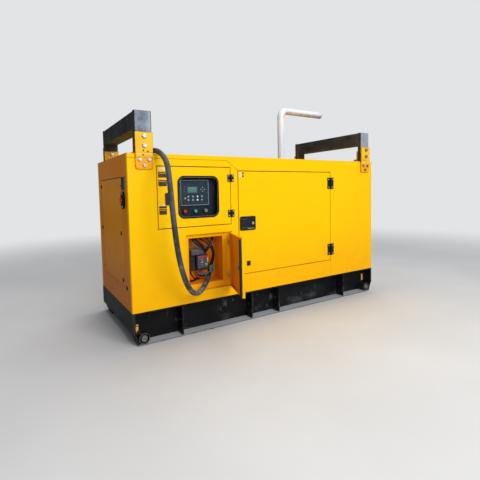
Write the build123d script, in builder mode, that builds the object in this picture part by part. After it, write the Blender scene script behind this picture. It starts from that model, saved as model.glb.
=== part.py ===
from build123d import *
import math
import os

os.makedirs("parts", exist_ok=True)

# An enclosed diesel generator set on a skid, with two hanger frames bolted to its roof.
# X runs along the canopy from its left end, Y from the control side to the rear, Z up.
# The origin is at the middle of the skid's underside. All sizes are in millimetres.

# Canopy
canopy_length = 2260.0
canopy_width = 890.0
canopy_height = 1000.0
wall = 30.0
edge_round = 2.5

# Clearance under a piece that only rests on another
seat_clearance = 0.3

# Skid
skid_height = 215.0
skid_slope_run = 36.0
skid_slope_height = 75.0
channel_depth = 85.0
channel_plate = 8.0
beam_box = 50.0
rib_places = (334.0, 893.0, 1150.0, 1877.0)
rib_plate = 8.0
rib_hole = 7.0
end_plate = 8.0
end_plate_height = 140.0
crossmember_width = 70.0
crossmember_height = 60.0
crossmember_spacing = 740.0
tank_length = 1300.0
tank_height = 105.0
tank_round = 20.0
deck_plate = 5.0
lifting_bar_radius = 20.0
lifting_ring_radius = 35.0
lifting_ring_wall = 5.0
lifting_bar_height = 44.0
lifting_bar_inset = 70.0

# Machinery
engine_length = 780.0
engine_from_right = 560.0
engine_foot = 60.0
engine_foot_length = 90.0
engine_foot_width = 70.0
engine_foot_inset = 35.0
sump_width = 300.0
sump_height = 130.0
block_width = 430.0
head_width = 260.0
head_height = 150.0
head_inset = 40.0
cover_width = 180.0
cover_height = 60.0
cover_round = 20.0
flywheel_radius = 235.0
flywheel_length = 110.0
alternator_radius = 190.0
alternator_length = 430.0
alternator_edge = 30.0
alternator_foot_width = 260.0
manifold_width = 70.0
manifold_height = 60.0
manifold_drop = 20.0
air_cleaner_radius = 85.0
air_cleaner_length = 300.0
air_cleaner_edge = 12.0
bracket_width = 60.0
radiator_thick = 90.0
radiator_side_room = 85.0
radiator_head_room = 205.0
radiator_from_right = 110.0
cowl_radius = 270.0
cowl_depth = 90.0
cowl_ring = 50.0
cowl_bevel = 60.0

# Service bay on each long side
bay_left = 787.0
bay_width = 935.0
sill_height = 137.0
header_height = 99.0
lip_height = 30.0
lip_length = 699.0
door_gap = 5.0
door_thick = 28.0
lining_margin = 30.0
lining_recess = 8.0

# Control door and terminal door, in the front left panel
control_right_margin = 59.0
control_width = 546.0
control_drop = 45.0
control_height = 409.0
control_door_thick = 18.0
window_left_margin = 135.0
window_right_margin = 95.0
window_bottom_margin = 56.0
window_top_margin = 59.0
window_corner = 48.0
seal_width = 12.0
seal_proud = 4.0
pane_thick = 4.0
terminal_right_margin = 58.0
terminal_width = 357.0
terminal_bottom = 72.0
door_rail = 52.0
terminal_door_thick = 18.0
terminal_door_skin = 2.5
terminal_door_open = 73.0
gasket_inset = 12.0
gasket_width = 14.0
gasket_thick = 12.0
latch_inset = 34.0
latch_width = 24.0
latch_height = 26.0
latch_depth = 16.0
tongue_height = 18.0
tongue_plate = 4.0
tongue_reach = 16.0

# Hinges, with their pins standing proud of the doors
pin_proud = 7.0
pin_radius = 3.0
pin_clearance = 0.05
knuckle_radius = 6.5
knuckle_gap = 1.0
leaf_plate = 5.0
door_leaf_width = 35.0
door_leaf_height = 96.0
small_leaf_width = 25.0
small_leaf_height = 51.0
door_hinge_inset = 92.0
small_hinge_inset = 74.0

# Door locks
lock_width = 136.0
lock_height = 103.0
lock_frame = 6.0
lock_round = 12.0
lock_inset = 6.0
lock_height_on_door = 373.0
lock_border = 9.0
lock_well = 4.0
paddle_width = 60.0
paddle_thick = 5.0
key_radius = 13.0
key_inset = 36.0
small_lock_width = 34.0
small_lock_height = 80.0
small_lock_inset = 65.0
small_lock_lift = -10.0

# Control housing behind the control door
housing_depth = 50.0
housing_plate = 3.0
housing_flange = 20.0
controller_inset = 176.0
controller_drop = 91.0
controller_width = 215.0
controller_height = 172.0
controller_proud = 12.0
bezel_wall = 8.0
screen_width = 72.0
screen_height = 40.0
screen_inset = 54.0
screen_drop = 46.0
screen_well = 2.0
key_cap_radius = 6.0
key_cap_proud = 2.5
key_columns = 4
key_pitch = 34.0
key_row_pitch = 23.0
key_row_lift = 37.0
switch_spacing = 78.0
switch_drop = 40.0
switch_radius = 14.0
switch_cap_radius = 10.0
switch_proud = 16.0

# Terminal box behind the terminal door
box_depth = 150.0
box_plate = 3.0
rabbet_depth = 22.0
mouth_left_margin = 26.0
mouth_right_margin = 68.0
mouth_bottom_margin = 46.0
mouth_top_margin = 26.0
breaker_inset = 90.0
breaker_width = 88.0
breaker_lift = 75.0
breaker_height = 112.0
breaker_depth = 52.0
breaker_nose_width = 70.0
breaker_nose_height = 84.0
breaker_nose_depth = 18.0
strip_inset = 200.0
strip_width = 40.0
strip_lift = 48.0
strip_height = 53.0
strip_depth = 30.0

# Left end
panel_front_margin = 150.0
panel_rear_margin = 125.0
panel_bottom_margin = 140.0
panel_top_margin = 144.0
stop_inset = 110.0
stop_drop = 290.0
stop_box_width = 75.0
stop_box_height = 110.0
stop_box_depth = 10.0
stop_button_radius = 19.0
stop_stem_radius = 12.0
stop_button_proud = 12.0
stop_button_bevel = 4.0

# Louvres
grille_side_margin = 100.0
grille_bottom_margin = 110.0
grille_top_margin = 120.0
intake_left_margin = 170.0
intake_right_margin = 137.0
intake_bottom_margin = 260.0
intake_top_margin = 150.0
blade_pitch = 48.0
blade_plate = 3.0
blade_angle = 40.0
blade_inset = 1.5
grille_rim = 18.0

# Hanger frames
tube_size = 110.0
tube_wall = 6.0
tube_round = 10.0
hanger_height = 260.0
hanger_inset = 50.0
hanger_proud = 8.0
post_depth = 40.0
strap_plate = 10.0
strap_top = 128.0
strap_bottom = 100.0
strap_corner = 18.0
strap_joggle_drop = 26.0
strap_joggle_height = 16.0
cleat_plate = 10.0
cleat_height = 95.0
cleat_foot = 70.0

# Exhaust
pipe_radius = 31.0
pipe_wall = 3.0
pipe_place = 1543.0
pipe_rise = 488.0
pipe_bend = 62.0
pipe_end = 2040.0
collar_radius = 70.0
collar_height = 8.0
pipe_clearance = 0.3
pipe_hole_clearance = 9.0
silencer_radius = 95.0
silencer_length = 620.0
silencer_from_pipe = 90.0
silencer_drop = 30.0
silencer_over_engine = 45.0
silencer_edge = 18.0
inlet_from_end = 120.0
inlet_radius = 28.0

# Power cable
cable_diameter = 34.0
cable_route = (
    (-578.0, -408.0, 366.0),
    (-612.0, -446.0, 346.0),
    (-657.0, -486.0, 320.0),
    (-707.0, -524.0, 300.0),
    (-763.0, -561.0, 312.0),
    (-811.0, -594.0, 360.0),
    (-849.0, -620.0, 430.0),
    (-879.0, -641.0, 512.0),
    (-903.0, -658.0, 604.0),
    (-920.0, -670.0, 704.0),
    (-931.0, -673.0, 804.0),
    (-938.0, -671.0, 904.0),
    (-943.0, -664.0, 1008.0),
    (-944.0, -650.0, 1088.0),
    (-940.0, -620.0, 1137.0),
    (-935.0, -578.0, 1170.0),
    (-937.0, -530.0, 1201.0),
    (-943.0, -482.0, 1225.0),
    (-948.0, -428.0, 1238.0),
    (-939.0, -340.0, 1240.0),
    (-915.0, -255.0, 1239.0),
    (-888.0, -170.0, 1236.5),
    (-870.0, -95.0, 1233.5),
    (-862.0, -25.0, 1232.3),
    (-864.0, 45.0, 1232.3),
)
coil_radius = 190.0
coil_turns = 3.0
coil_place = (-640.0, 100.0)
boot_length = 40.0
boot_end_radius = 11.0
connector_radius = 33.0
connector_length = 150.0
connector_nut_radius = 26.0
connector_nut_length = 34.0
connector_collar_radius = 37.0
connector_collar_length = 22.0
connector_gap = 30.0

# Places worked out from the sizes
left = -canopy_length / 2
right = canopy_length / 2
front = -canopy_width / 2
back = canopy_width / 2
roof_top = skid_height + canopy_height
bay_right = bay_left + bay_width
bay_top = canopy_height - header_height
panel_top = canopy_height - lip_height
control_left = bay_left - control_right_margin - control_width
control_bottom = panel_top - control_drop - control_height
terminal_left = bay_left - terminal_right_margin - terminal_width
terminal_height = control_bottom - door_rail - terminal_bottom
mouth_left = terminal_left + mouth_left_margin
mouth_width = terminal_width - mouth_left_margin - mouth_right_margin
mouth_bottom = terminal_bottom + mouth_bottom_margin
mouth_height = terminal_height - mouth_bottom_margin - mouth_top_margin
grille_width = canopy_width - 2 * grille_side_margin
grille_height = canopy_height - grille_bottom_margin - grille_top_margin
intake_width = bay_left - intake_left_margin - intake_right_margin
intake_height = panel_top - intake_bottom_margin - intake_top_margin
panel_width = canopy_width - panel_front_margin - panel_rear_margin
panel_height = canopy_height - panel_bottom_margin - panel_top_margin
door_leaf = (door_leaf_width, door_leaf_height)
small_leaf = (small_leaf_width, small_leaf_height)
CORNER = (Align.MIN, Align.MIN)

# Local x on this face is the distance from the left end, local y the height above the skid.
front_face = Plane(origin=(left, front, skid_height), x_dir=(1, 0, 0), z_dir=(0, -1, 0))
rear_face = Plane(origin=(left, back, skid_height), x_dir=(1, 0, 0), z_dir=(0, -1, 0))
# Local x on the end faces is the distance from the front, local y the height above the skid.
left_face = Plane(origin=(left, front, skid_height), x_dir=(0, 1, 0), z_dir=(1, 0, 0))
right_face = Plane(origin=(right, front, skid_height), x_dir=(0, 1, 0), z_dir=(1, 0, 0))


def door_plane(pivot, angle):
    """A door's plane at its pin: x to the free edge, y up, z inwards, turned open by angle."""
    turn = math.radians(angle)
    x_dir = (-math.cos(turn), -math.sin(turn), 0)
    z_dir = (-math.sin(turn), math.cos(turn), 0)
    return Plane(origin=(left + pivot, front - pin_proud, skid_height), x_dir=x_dir, z_dir=z_dir)


def hinge_half(pivot, angle, leaf, middle, moving):
    """One half of a hinge: the door's leaf with one knuckle, or the fixed leaf with two and the pin."""
    width, height = leaf
    side = 1 if moving else -1
    turn = math.radians(angle)
    base = skid_height + middle - height / 2
    third = height / 3
    inner = knuckle_radius + knuckle_gap

    def level(rise):
        """A level plane at the pin: x to the door's free edge, y out of the canopy."""
        return Plane(
            origin=(left + pivot, front - pin_proud, base + rise),
            x_dir=(-math.cos(turn), -math.sin(turn), 0),
            z_dir=(0, 0, 1),
        )

    with BuildPart() as half:
        with BuildSketch(level(0)):
            with Locations((side * (inner + width) / 2, -pin_proud + leaf_plate / 2)):
                Rectangle(width - inner, leaf_plate)
        extrude(amount=height)
        for n in range(3):
            if (n == 1) == moving:
                with BuildSketch(level(n * third + seat_clearance)):
                    Circle(knuckle_radius)
                    with Locations((side * (inner + knuckle_gap) / 2, -pin_proud + leaf_plate / 2)):
                        Rectangle(inner + knuckle_gap, leaf_plate)
                extrude(amount=third - 2 * seat_clearance)
        with BuildSketch(level(0)):
            Circle(pin_radius + pin_clearance if moving else pin_radius)
        extrude(amount=height, mode=Mode.SUBTRACT if moving else Mode.ADD)
    return half.part


def louvre(plane, width, height):
    """A framed bank of slanted blades that fills an opening, its corner at the plane's origin."""
    inside_width = width - 2 * grille_rim
    inside_height = height - 2 * grille_rim
    rows = int(inside_height / blade_pitch)
    step = inside_height / rows
    depth = wall - 2 * blade_inset
    rise = min(depth / math.tan(math.radians(blade_angle)), step - 2 * blade_plate)
    side = Plane(
        origin=plane.origin + plane.x_dir * (grille_rim - blade_inset) + plane.z_dir * blade_inset,
        x_dir=plane.z_dir,
        z_dir=-plane.x_dir,
    )
    with BuildPart() as bank:
        with BuildSketch(plane):
            Rectangle(width, height, align=CORNER)
            with Locations((grille_rim, grille_rim)):
                Rectangle(inside_width, inside_height, align=CORNER, mode=Mode.SUBTRACT)
        extrude(amount=wall)
        for row in range(rows):
            low = grille_rim + (row + 0.5) * step - (rise + blade_plate) / 2
            with BuildSketch(side):
                with BuildLine():
                    Polyline(
                        (0, low),
                        (depth, low + rise),
                        (depth, low + rise + blade_plate),
                        (0, low + blade_plate),
                        close=True,
                    )
                make_face()
            extrude(amount=-(inside_width + 2 * blade_inset))
    return bank.part


# Side beams: channels that open outwards, with sloped ends and a box member behind the web
with BuildPart() as skid_beam_front:
    with BuildSketch(Plane(origin=(left, front, 0), x_dir=(1, 0, 0), z_dir=(0, -1, 0))) as beam_side:
        with BuildLine():
            Polyline(
                (end_plate, skid_height),
                (canopy_length - end_plate, skid_height),
                (canopy_length - end_plate, skid_slope_height),
                (canopy_length - skid_slope_run, 0),
                (skid_slope_run, 0),
                (end_plate, skid_slope_height),
                close=True,
            )
        make_face()
    extrude(amount=-(channel_depth + beam_box))
    with BuildSketch(Plane(origin=(left, front, 0), x_dir=(1, 0, 0), z_dir=(0, -1, 0))):
        offset(beam_side.face(), amount=-channel_plate)
    extrude(amount=-channel_depth, mode=Mode.SUBTRACT)
    for place in rib_places:
        with BuildSketch(Plane(origin=(left + place, front, 0), x_dir=(0, 1, 0), z_dir=(1, 0, 0))):
            Rectangle(channel_depth, skid_height, align=CORNER)
            with Locations((channel_depth / 2, skid_height / 2)):
                Circle(rib_hole, mode=Mode.SUBTRACT)
        extrude(amount=rib_plate / 2, both=True)
    for place in (lifting_bar_inset, canopy_length - lifting_bar_inset):
        with BuildSketch(Plane(origin=(left, front, 0), x_dir=(1, 0, 0), z_dir=(0, -1, 0))):
            with Locations((place, lifting_bar_height)):
                Circle(lifting_bar_radius)
        extrude(amount=-(channel_depth + beam_box), mode=Mode.SUBTRACT)
skid_beam_front.part.label = "skid_beam_front"
export_step(skid_beam_front.part, "parts/skid_beam_front.step")

with BuildPart() as skid_beam_rear:
    mirror(skid_beam_front.part, about=Plane.XZ)
skid_beam_rear.part.label = "skid_beam_rear"
export_step(skid_beam_rear.part, "parts/skid_beam_rear.step")

# End plates close the skid between the beams' sloped ends
with BuildPart() as skid_end_plates:
    for place in (left, right - end_plate):
        with BuildSketch(Plane(origin=(place, front, skid_height), x_dir=(0, 1, 0), z_dir=(1, 0, 0))):
            Rectangle(canopy_width, end_plate_height, align=(Align.MIN, Align.MAX))
        extrude(amount=end_plate)
skid_end_plates.part.label = "skid_end_plates"
export_step(skid_end_plates.part, "parts/skid_end_plates.step")

# Crossmembers between the two box members, under the tank
beam_inside = canopy_width - 2 * (channel_depth + beam_box)
with BuildPart() as skid_crossmembers:
    for place in (-crossmember_spacing, 0, crossmember_spacing):
        with BuildSketch(Plane.XZ.offset(-beam_inside / 2)):
            with Locations((place, crossmember_height / 2)):
                Rectangle(crossmember_width, crossmember_height)
                offset(amount=-tube_wall, mode=Mode.SUBTRACT)
        extrude(amount=beam_inside)
skid_crossmembers.part.label = "skid_crossmembers"
export_step(skid_crossmembers.part, "parts/skid_crossmembers.step")

# Bars for slings pass through both beams, each in a ring from the web to the beam's open side
with BuildPart() as lifting_bars:
    for place in (left + lifting_bar_inset, right - lifting_bar_inset):
        with BuildSketch(Plane(origin=(place, front, lifting_bar_height), x_dir=(1, 0, 0), z_dir=(0, 1, 0))):
            Circle(lifting_bar_radius)
        extrude(amount=canopy_width)
        for start in (front, back - channel_depth):
            with BuildSketch(Plane(origin=(place, start, lifting_bar_height), x_dir=(1, 0, 0), z_dir=(0, 1, 0))):
                Circle(lifting_ring_radius)
                Circle(lifting_ring_radius - lifting_ring_wall, mode=Mode.SUBTRACT)
            extrude(amount=channel_depth)
lifting_bars.part.label = "lifting_bars"
export_step(lifting_bars.part, "parts/lifting_bars.step")

with BuildPart() as fuel_tank:
    with BuildSketch(Plane.XY.offset(crossmember_height)):
        Rectangle(tank_length, beam_inside)
    extrude(amount=tank_height)
    fillet(fuel_tank.edges().filter_by(Axis.X), tank_round)
fuel_tank.part.label = "fuel_tank"
export_step(fuel_tank.part, "parts/fuel_tank.step")

with BuildPart() as deck:
    with BuildSketch(Plane.XY.offset(skid_height)):
        Rectangle(canopy_length - 2 * wall, canopy_width - 2 * wall)
    extrude(amount=deck_plate)
deck.part.label = "deck"
export_step(deck.part, "parts/deck.step")

# Engine and alternator on their feet: one profile across, stepped from sump to rocker cover.
# The block's height is what the canopy leaves between the sump and the silencer.
engine_room = canopy_height - wall - deck_plate - engine_foot
under_silencer = engine_room - silencer_drop - 2 * silencer_radius - silencer_over_engine
block_height = under_silencer - sump_height - head_height - cover_height
engine_left = right - engine_from_right - engine_length
engine_middle = engine_left + engine_length / 2
engine_base = skid_height + deck_plate + engine_foot
head_base = engine_base + sump_height + block_height
shaft_height = engine_base + flywheel_radius
with BuildPart() as engine_and_alternator:
    with BuildSketch(Plane.YZ.offset(engine_left)):
        with BuildLine():
            Polyline(
                (-sump_width / 2, engine_base),
                (sump_width / 2, engine_base),
                (block_width / 2, engine_base + sump_height),
                (block_width / 2, head_base),
                (-block_width / 2, head_base),
                (-block_width / 2, engine_base + sump_height),
                close=True,
            )
        make_face()
    extrude(amount=engine_length)
    with BuildSketch(Plane.YZ.offset(engine_left + head_inset)):
        with Locations((0, head_base)):
            Rectangle(head_width, head_height, align=(Align.CENTER, Align.MIN))
    extrude(amount=engine_length - 2 * head_inset)
    with BuildSketch(Plane.YZ.offset(engine_left + 2 * head_inset)):
        with Locations((0, head_base + head_height - cover_round)):
            RectangleRounded(
                cover_width, cover_height + cover_round, cover_round, align=(Align.CENTER, Align.MIN)
            )
    extrude(amount=engine_length - 4 * head_inset)
    with BuildSketch(Plane.YZ.offset(engine_left)):
        with Locations((0, shaft_height)):
            Circle(flywheel_radius)
    extrude(amount=-flywheel_length)
    with BuildSketch(Plane.YZ.offset(engine_left - flywheel_length)):
        with Locations((0, shaft_height)):
            Circle(alternator_radius)
    extrude(amount=-alternator_length)
    chamfer(engine_and_alternator.faces().sort_by(Axis.X)[0].edges(), alternator_edge)
    with BuildSketch(Plane.XY.offset(skid_height + deck_plate)):
        with Locations((engine_middle, 0)):
            with GridLocations(
                engine_length - engine_foot_length - 2 * engine_foot_inset,
                sump_width - engine_foot_width,
                2,
                2,
            ):
                Rectangle(engine_foot_length, engine_foot_width)
    extrude(amount=engine_foot)
    with BuildSketch(Plane.XY.offset(skid_height + deck_plate)):
        with Locations((engine_left - flywheel_length - alternator_length / 2, 0)):
            Rectangle(alternator_length - 2 * alternator_edge, alternator_foot_width)
    extrude(amount=shaft_height - alternator_radius / 2 - skid_height - deck_plate)
    with BuildSketch(Plane.YZ.offset(engine_left + head_inset)):
        with Locations((head_width / 2, head_base + head_height - manifold_drop)):
            Rectangle(manifold_width, manifold_height, align=(Align.MIN, Align.MAX))
    extrude(amount=engine_length - 2 * head_inset)
engine_and_alternator.part.label = "engine_and_alternator"
export_step(engine_and_alternator.part, "parts/engine_and_alternator.step")

# Air cleaner: a drum on a bracket that stands on the alternator
air_cleaner_x = engine_left - flywheel_length - alternator_length / 2
air_cleaner_height = shaft_height + alternator_radius + 2 * air_cleaner_radius
with BuildPart() as air_cleaner:
    with BuildSketch(Plane.YZ.offset(air_cleaner_x - air_cleaner_length / 2)):
        with Locations((0, air_cleaner_height)):
            Circle(air_cleaner_radius)
    extrude(amount=air_cleaner_length)
    chamfer(air_cleaner.edges().filter_by(GeomType.CIRCLE), air_cleaner_edge)
    with BuildSketch(Plane.YZ.offset(air_cleaner_x - bracket_width / 2)):
        with Locations((0, air_cleaner_height)):
            Rectangle(air_cleaner_radius, 2 * air_cleaner_radius, align=(Align.CENTER, Align.MAX))
        with Locations((0, shaft_height)):
            Circle(alternator_radius + pipe_clearance, mode=Mode.SUBTRACT)
    extrude(amount=bracket_width)
air_cleaner.part.label = "air_cleaner"
export_step(air_cleaner.part, "parts/air_cleaner.step")

# Radiator with its cowl, which narrows to a ring towards the engine
radiator_left = right - radiator_from_right - radiator_thick
radiator_width = canopy_width - 2 * (wall + radiator_side_room)
radiator_height = canopy_height - wall - deck_plate - radiator_head_room
radiator_middle = skid_height + deck_plate + radiator_height / 2
with BuildPart() as radiator:
    with BuildSketch(Plane.YZ.offset(radiator_left)):
        with Locations((0, radiator_middle)):
            Rectangle(radiator_width, radiator_height)
    extrude(amount=radiator_thick)
    with BuildSketch(Plane.YZ.offset(radiator_left)):
        with Locations((0, radiator_middle)):
            Rectangle(2 * cowl_radius + cowl_ring, 2 * cowl_radius + cowl_ring)
    extrude(amount=-cowl_depth)
    chamfer(radiator.faces().sort_by(Axis.X)[0].edges(), cowl_bevel)
    with BuildSketch(Plane.YZ.offset(radiator_left - cowl_depth)):
        with Locations((0, radiator_middle)):
            Circle(cowl_radius - cowl_bevel / 2)
    extrude(amount=-cowl_ring)
radiator.part.label = "radiator"
export_step(radiator.part, "parts/radiator.step")

# Silencer under the roof, from the exhaust manifold to the foot of the exhaust pipe
silencer_end = left + pipe_place + silencer_from_pipe
silencer_height = roof_top - wall - silencer_drop - silencer_radius
manifold_y = head_width / 2 + manifold_width / 2
inlet_x = silencer_end - silencer_length + inlet_from_end
with BuildPart() as silencer:
    with BuildSketch(Plane.YZ.offset(silencer_end)):
        with Locations((0, silencer_height)):
            Circle(silencer_radius)
    extrude(amount=-silencer_length)
    chamfer(silencer.edges().filter_by(GeomType.CIRCLE), silencer_edge)
    with BuildSketch(Plane.XY.offset(roof_top - wall)):
        with Locations((left + pipe_place, 0)):
            Circle(pipe_radius)
    extrude(amount=-(silencer_drop + silencer_radius))
    with BuildLine() as inlet_path:
        Polyline(
            (inlet_x, 0, silencer_height),
            (inlet_x, manifold_y, silencer_height),
            (inlet_x, manifold_y, head_base + head_height - manifold_drop),
        )
        fillet(
            inlet_path.vertices().sort_by_distance((inlet_x, manifold_y, silencer_height))[0], 2 * inlet_radius
        )
    with BuildSketch(Plane(origin=(inlet_x, 0, silencer_height), x_dir=(1, 0, 0), z_dir=(0, 1, 0))):
        Circle(inlet_radius)
    sweep()
silencer.part.label = "silencer"
export_step(silencer.part, "parts/silencer.step")

# Front left panel, with openings for the control door and the terminal door
with BuildPart() as front_panel:
    with BuildSketch(front_face):
        with BuildLine():
            Polyline(
                (0, 0),
                (bay_left, 0),
                (bay_left, bay_top),
                (lip_length, panel_top),
                (0, panel_top),
                close=True,
            )
        make_face()
        with Locations((control_left, control_bottom)):
            Rectangle(control_width, control_height, align=CORNER, mode=Mode.SUBTRACT)
        with Locations((terminal_left, terminal_bottom)):
            Rectangle(terminal_width, terminal_height, align=CORNER, mode=Mode.SUBTRACT)
    extrude(amount=-wall)
    fillet(front_panel.faces().sort_by(Axis.Y)[0].edges(), edge_round)
front_panel.part.label = "front_panel"
export_step(front_panel.part, "parts/front_panel.step")

# Roof lip, header and right panel in one folded sheet
with BuildPart() as front_shell:
    with BuildSketch(front_face):
        with BuildLine():
            Polyline(
                (0, panel_top),
                (lip_length, panel_top),
                (bay_left, bay_top),
                (bay_right, bay_top),
                (bay_right, 0),
                (canopy_length, 0),
                (canopy_length, canopy_height),
                (0, canopy_height),
                close=True,
            )
        make_face()
    extrude(amount=-wall)
    fillet(front_shell.faces().sort_by(Axis.Y)[0].edges(), edge_round)
front_shell.part.label = "front_shell"
export_step(front_shell.part, "parts/front_shell.step")

with BuildPart() as front_sill:
    with BuildSketch(front_face):
        with Locations((bay_left, 0)):
            Rectangle(bay_width, sill_height, align=CORNER)
    extrude(amount=-wall)
    fillet(front_sill.faces().sort_by(Axis.Y)[0].edges(), edge_round)
front_sill.part.label = "front_sill"
export_step(front_sill.part, "parts/front_sill.step")

# Rear panel, with an opening for the intake louvres
with BuildPart() as rear_panel:
    with BuildSketch(rear_face):
        with BuildLine():
            Polyline(
                (0, 0),
                (bay_left, 0),
                (bay_left, bay_top),
                (lip_length, panel_top),
                (0, panel_top),
                close=True,
            )
        make_face()
        with Locations((intake_left_margin, intake_bottom_margin)):
            Rectangle(intake_width, intake_height, align=CORNER, mode=Mode.SUBTRACT)
    extrude(amount=wall)
    fillet(rear_panel.faces().sort_by(Axis.Y)[-1].edges(), edge_round)
rear_panel.part.label = "rear_panel"
export_step(rear_panel.part, "parts/rear_panel.step")

with BuildPart() as rear_shell:
    mirror(front_shell.part, about=Plane.XZ)
rear_shell.part.label = "rear_shell"
export_step(rear_shell.part, "parts/rear_shell.step")

with BuildPart() as rear_sill:
    mirror(front_sill.part, about=Plane.XZ)
rear_sill.part.label = "rear_sill"
export_step(rear_sill.part, "parts/rear_sill.step")

intake_bank = louvre(
    Plane(
        origin=(left + intake_left_margin + intake_width, back - wall, skid_height + intake_bottom_margin),
        x_dir=(-1, 0, 0),
        z_dir=(0, 1, 0),
    ),
    intake_width,
    intake_height,
)
with BuildPart() as intake_louvres:
    add(intake_bank)
intake_louvres.part.label = "intake_louvres"
export_step(intake_louvres.part, "parts/intake_louvres.step")

# End walls between the long sides
with BuildPart() as end_frame_left:
    with BuildSketch(left_face):
        with Locations((wall, 0)):
            Rectangle(canopy_width - 2 * wall, canopy_height, align=CORNER)
        with Locations((panel_front_margin, panel_bottom_margin)):
            Rectangle(panel_width, panel_height, align=CORNER, mode=Mode.SUBTRACT)
    extrude(amount=wall)
end_frame_left.part.label = "end_frame_left"
export_step(end_frame_left.part, "parts/end_frame_left.step")

with BuildPart() as end_panel_left:
    with BuildSketch(left_face):
        with Locations((panel_front_margin, panel_bottom_margin)):
            Rectangle(panel_width, panel_height, align=CORNER)
    extrude(amount=wall)
    fillet(end_panel_left.faces().sort_by(Axis.X)[0].edges(), edge_round)
end_panel_left.part.label = "end_panel_left"
export_step(end_panel_left.part, "parts/end_panel_left.step")

with BuildPart() as end_frame_right:
    with BuildSketch(right_face):
        with Locations((wall, 0)):
            Rectangle(canopy_width - 2 * wall, canopy_height, align=CORNER)
        with Locations((grille_side_margin, grille_bottom_margin)):
            Rectangle(grille_width, grille_height, align=CORNER, mode=Mode.SUBTRACT)
    extrude(amount=-wall)
end_frame_right.part.label = "end_frame_right"
export_step(end_frame_right.part, "parts/end_frame_right.step")

grille_bank = louvre(
    Plane(
        origin=(right - wall, front + grille_side_margin, skid_height + grille_bottom_margin),
        x_dir=(0, 1, 0),
        z_dir=(1, 0, 0),
    ),
    grille_width,
    grille_height,
)
with BuildPart() as end_grille:
    add(grille_bank)
end_grille.part.label = "end_grille"
export_step(end_grille.part, "parts/end_grille.step")

# Roof between the side walls, with the exhaust hole
pipe_hole = pipe_radius + pipe_hole_clearance
with BuildPart() as roof:
    with BuildSketch(Plane.XY.offset(roof_top)):
        Rectangle(canopy_length - 2 * wall, canopy_width - 2 * wall)
        with Locations((left + pipe_place, 0)):
            Circle(pipe_hole, mode=Mode.SUBTRACT)
    extrude(amount=-wall)
roof.part.label = "roof"
export_step(roof.part, "parts/roof.step")

with BuildPart() as exhaust_collar:
    with BuildSketch(Plane.XY.offset(roof_top)):
        with Locations((left + pipe_place, 0)):
            Circle(collar_radius)
            Circle(pipe_radius + pipe_clearance, mode=Mode.SUBTRACT)
    extrude(amount=collar_height)
exhaust_collar.part.label = "exhaust_collar"
export_step(exhaust_collar.part, "parts/exhaust_collar.step")

# Exhaust pipe: up from the roof, one bend, then level to its open end
pipe_foot = roof_top - wall
pipe_level = roof_top + pipe_rise
with BuildPart() as exhaust_pipe:
    with BuildLine() as pipe_path:
        Polyline(
            (left + pipe_place, 0, pipe_foot),
            (left + pipe_place, 0, pipe_level),
            (left + pipe_end, 0, pipe_level),
        )
        fillet(pipe_path.vertices().sort_by_distance((left + pipe_place, 0, pipe_level))[0], pipe_bend)
    with BuildSketch(Plane.XY.offset(pipe_foot).move(Location((left + pipe_place, 0, 0)))):
        Circle(pipe_radius)
        Circle(pipe_radius - pipe_wall, mode=Mode.SUBTRACT)
    sweep()
exhaust_pipe.part.label = "exhaust_pipe"
export_step(exhaust_pipe.part, "parts/exhaust_pipe.step")

# Hanger frames: two flat posts, open at their lower ends, and a crossbeam of square tube between them
post_front = front - hanger_proud
beam_start = post_front + post_depth
hanger_top = roof_top + hanger_height
hanger_x = left + hanger_inset + tube_size / 2
with BuildPart() as hanger_frame_left:
    for post_y in (post_front + post_depth / 2, -post_front - post_depth / 2):
        with BuildSketch(Plane(origin=(hanger_x, post_y, roof_top), x_dir=(1, 0, 0), z_dir=(0, 0, 1))):
            RectangleRounded(tube_size, post_depth, tube_round)
        extrude(amount=hanger_height)
        with BuildSketch(Plane(origin=(hanger_x, post_y, roof_top), x_dir=(1, 0, 0), z_dir=(0, 0, 1))):
            RectangleRounded(tube_size - 2 * tube_wall, post_depth - 2 * tube_wall, tube_round - tube_wall)
        extrude(amount=hanger_height - tube_wall, mode=Mode.SUBTRACT)
    with BuildSketch(
        Plane(origin=(hanger_x, beam_start, hanger_top - tube_size / 2), x_dir=(1, 0, 0), z_dir=(0, -1, 0))
    ):
        RectangleRounded(tube_size, tube_size, tube_round)
        RectangleRounded(
            tube_size - 2 * tube_wall, tube_size - 2 * tube_wall, tube_round - tube_wall, mode=Mode.SUBTRACT
        )
    extrude(amount=2 * beam_start)
hanger_frame_left.part.label = "hanger_frame_left"
export_step(hanger_frame_left.part, "parts/hanger_frame_left.step")

with BuildPart() as hanger_frame_right:
    mirror(hanger_frame_left.part, about=Plane.YZ)
hanger_frame_right.part.label = "hanger_frame_right"
export_step(hanger_frame_right.part, "parts/hanger_frame_right.step")

# Joggled straps tie each post to the canopy's side; the corners of their outer line lie lower by joggle_shift
joggle_shift = strap_plate * math.tan(math.atan2(hanger_proud, strap_joggle_height) / 2)
joggle_top = strap_joggle_height - strap_joggle_drop
with BuildPart() as hanger_straps:
    for start in (left + hanger_inset, right - hanger_inset - tube_size):
        with BuildSketch(Plane(origin=(start, front, roof_top), x_dir=(0, 1, 0), z_dir=(1, 0, 0))):
            with BuildLine():
                Polyline(
                    (0, -strap_bottom),
                    (0, -strap_joggle_drop),
                    (-hanger_proud, joggle_top),
                    (-hanger_proud, strap_top),
                    (-hanger_proud - strap_plate, strap_top),
                    (-hanger_proud - strap_plate, joggle_top - joggle_shift),
                    (-strap_plate, -strap_joggle_drop - joggle_shift),
                    (-strap_plate, -strap_bottom),
                    close=True,
                )
            make_face()
        extrude(amount=tube_size)
    fillet(hanger_straps.edges().filter_by(Axis.Y).group_by(Axis.Z)[0], strap_corner)
    mirror(about=Plane.XZ)
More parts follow.
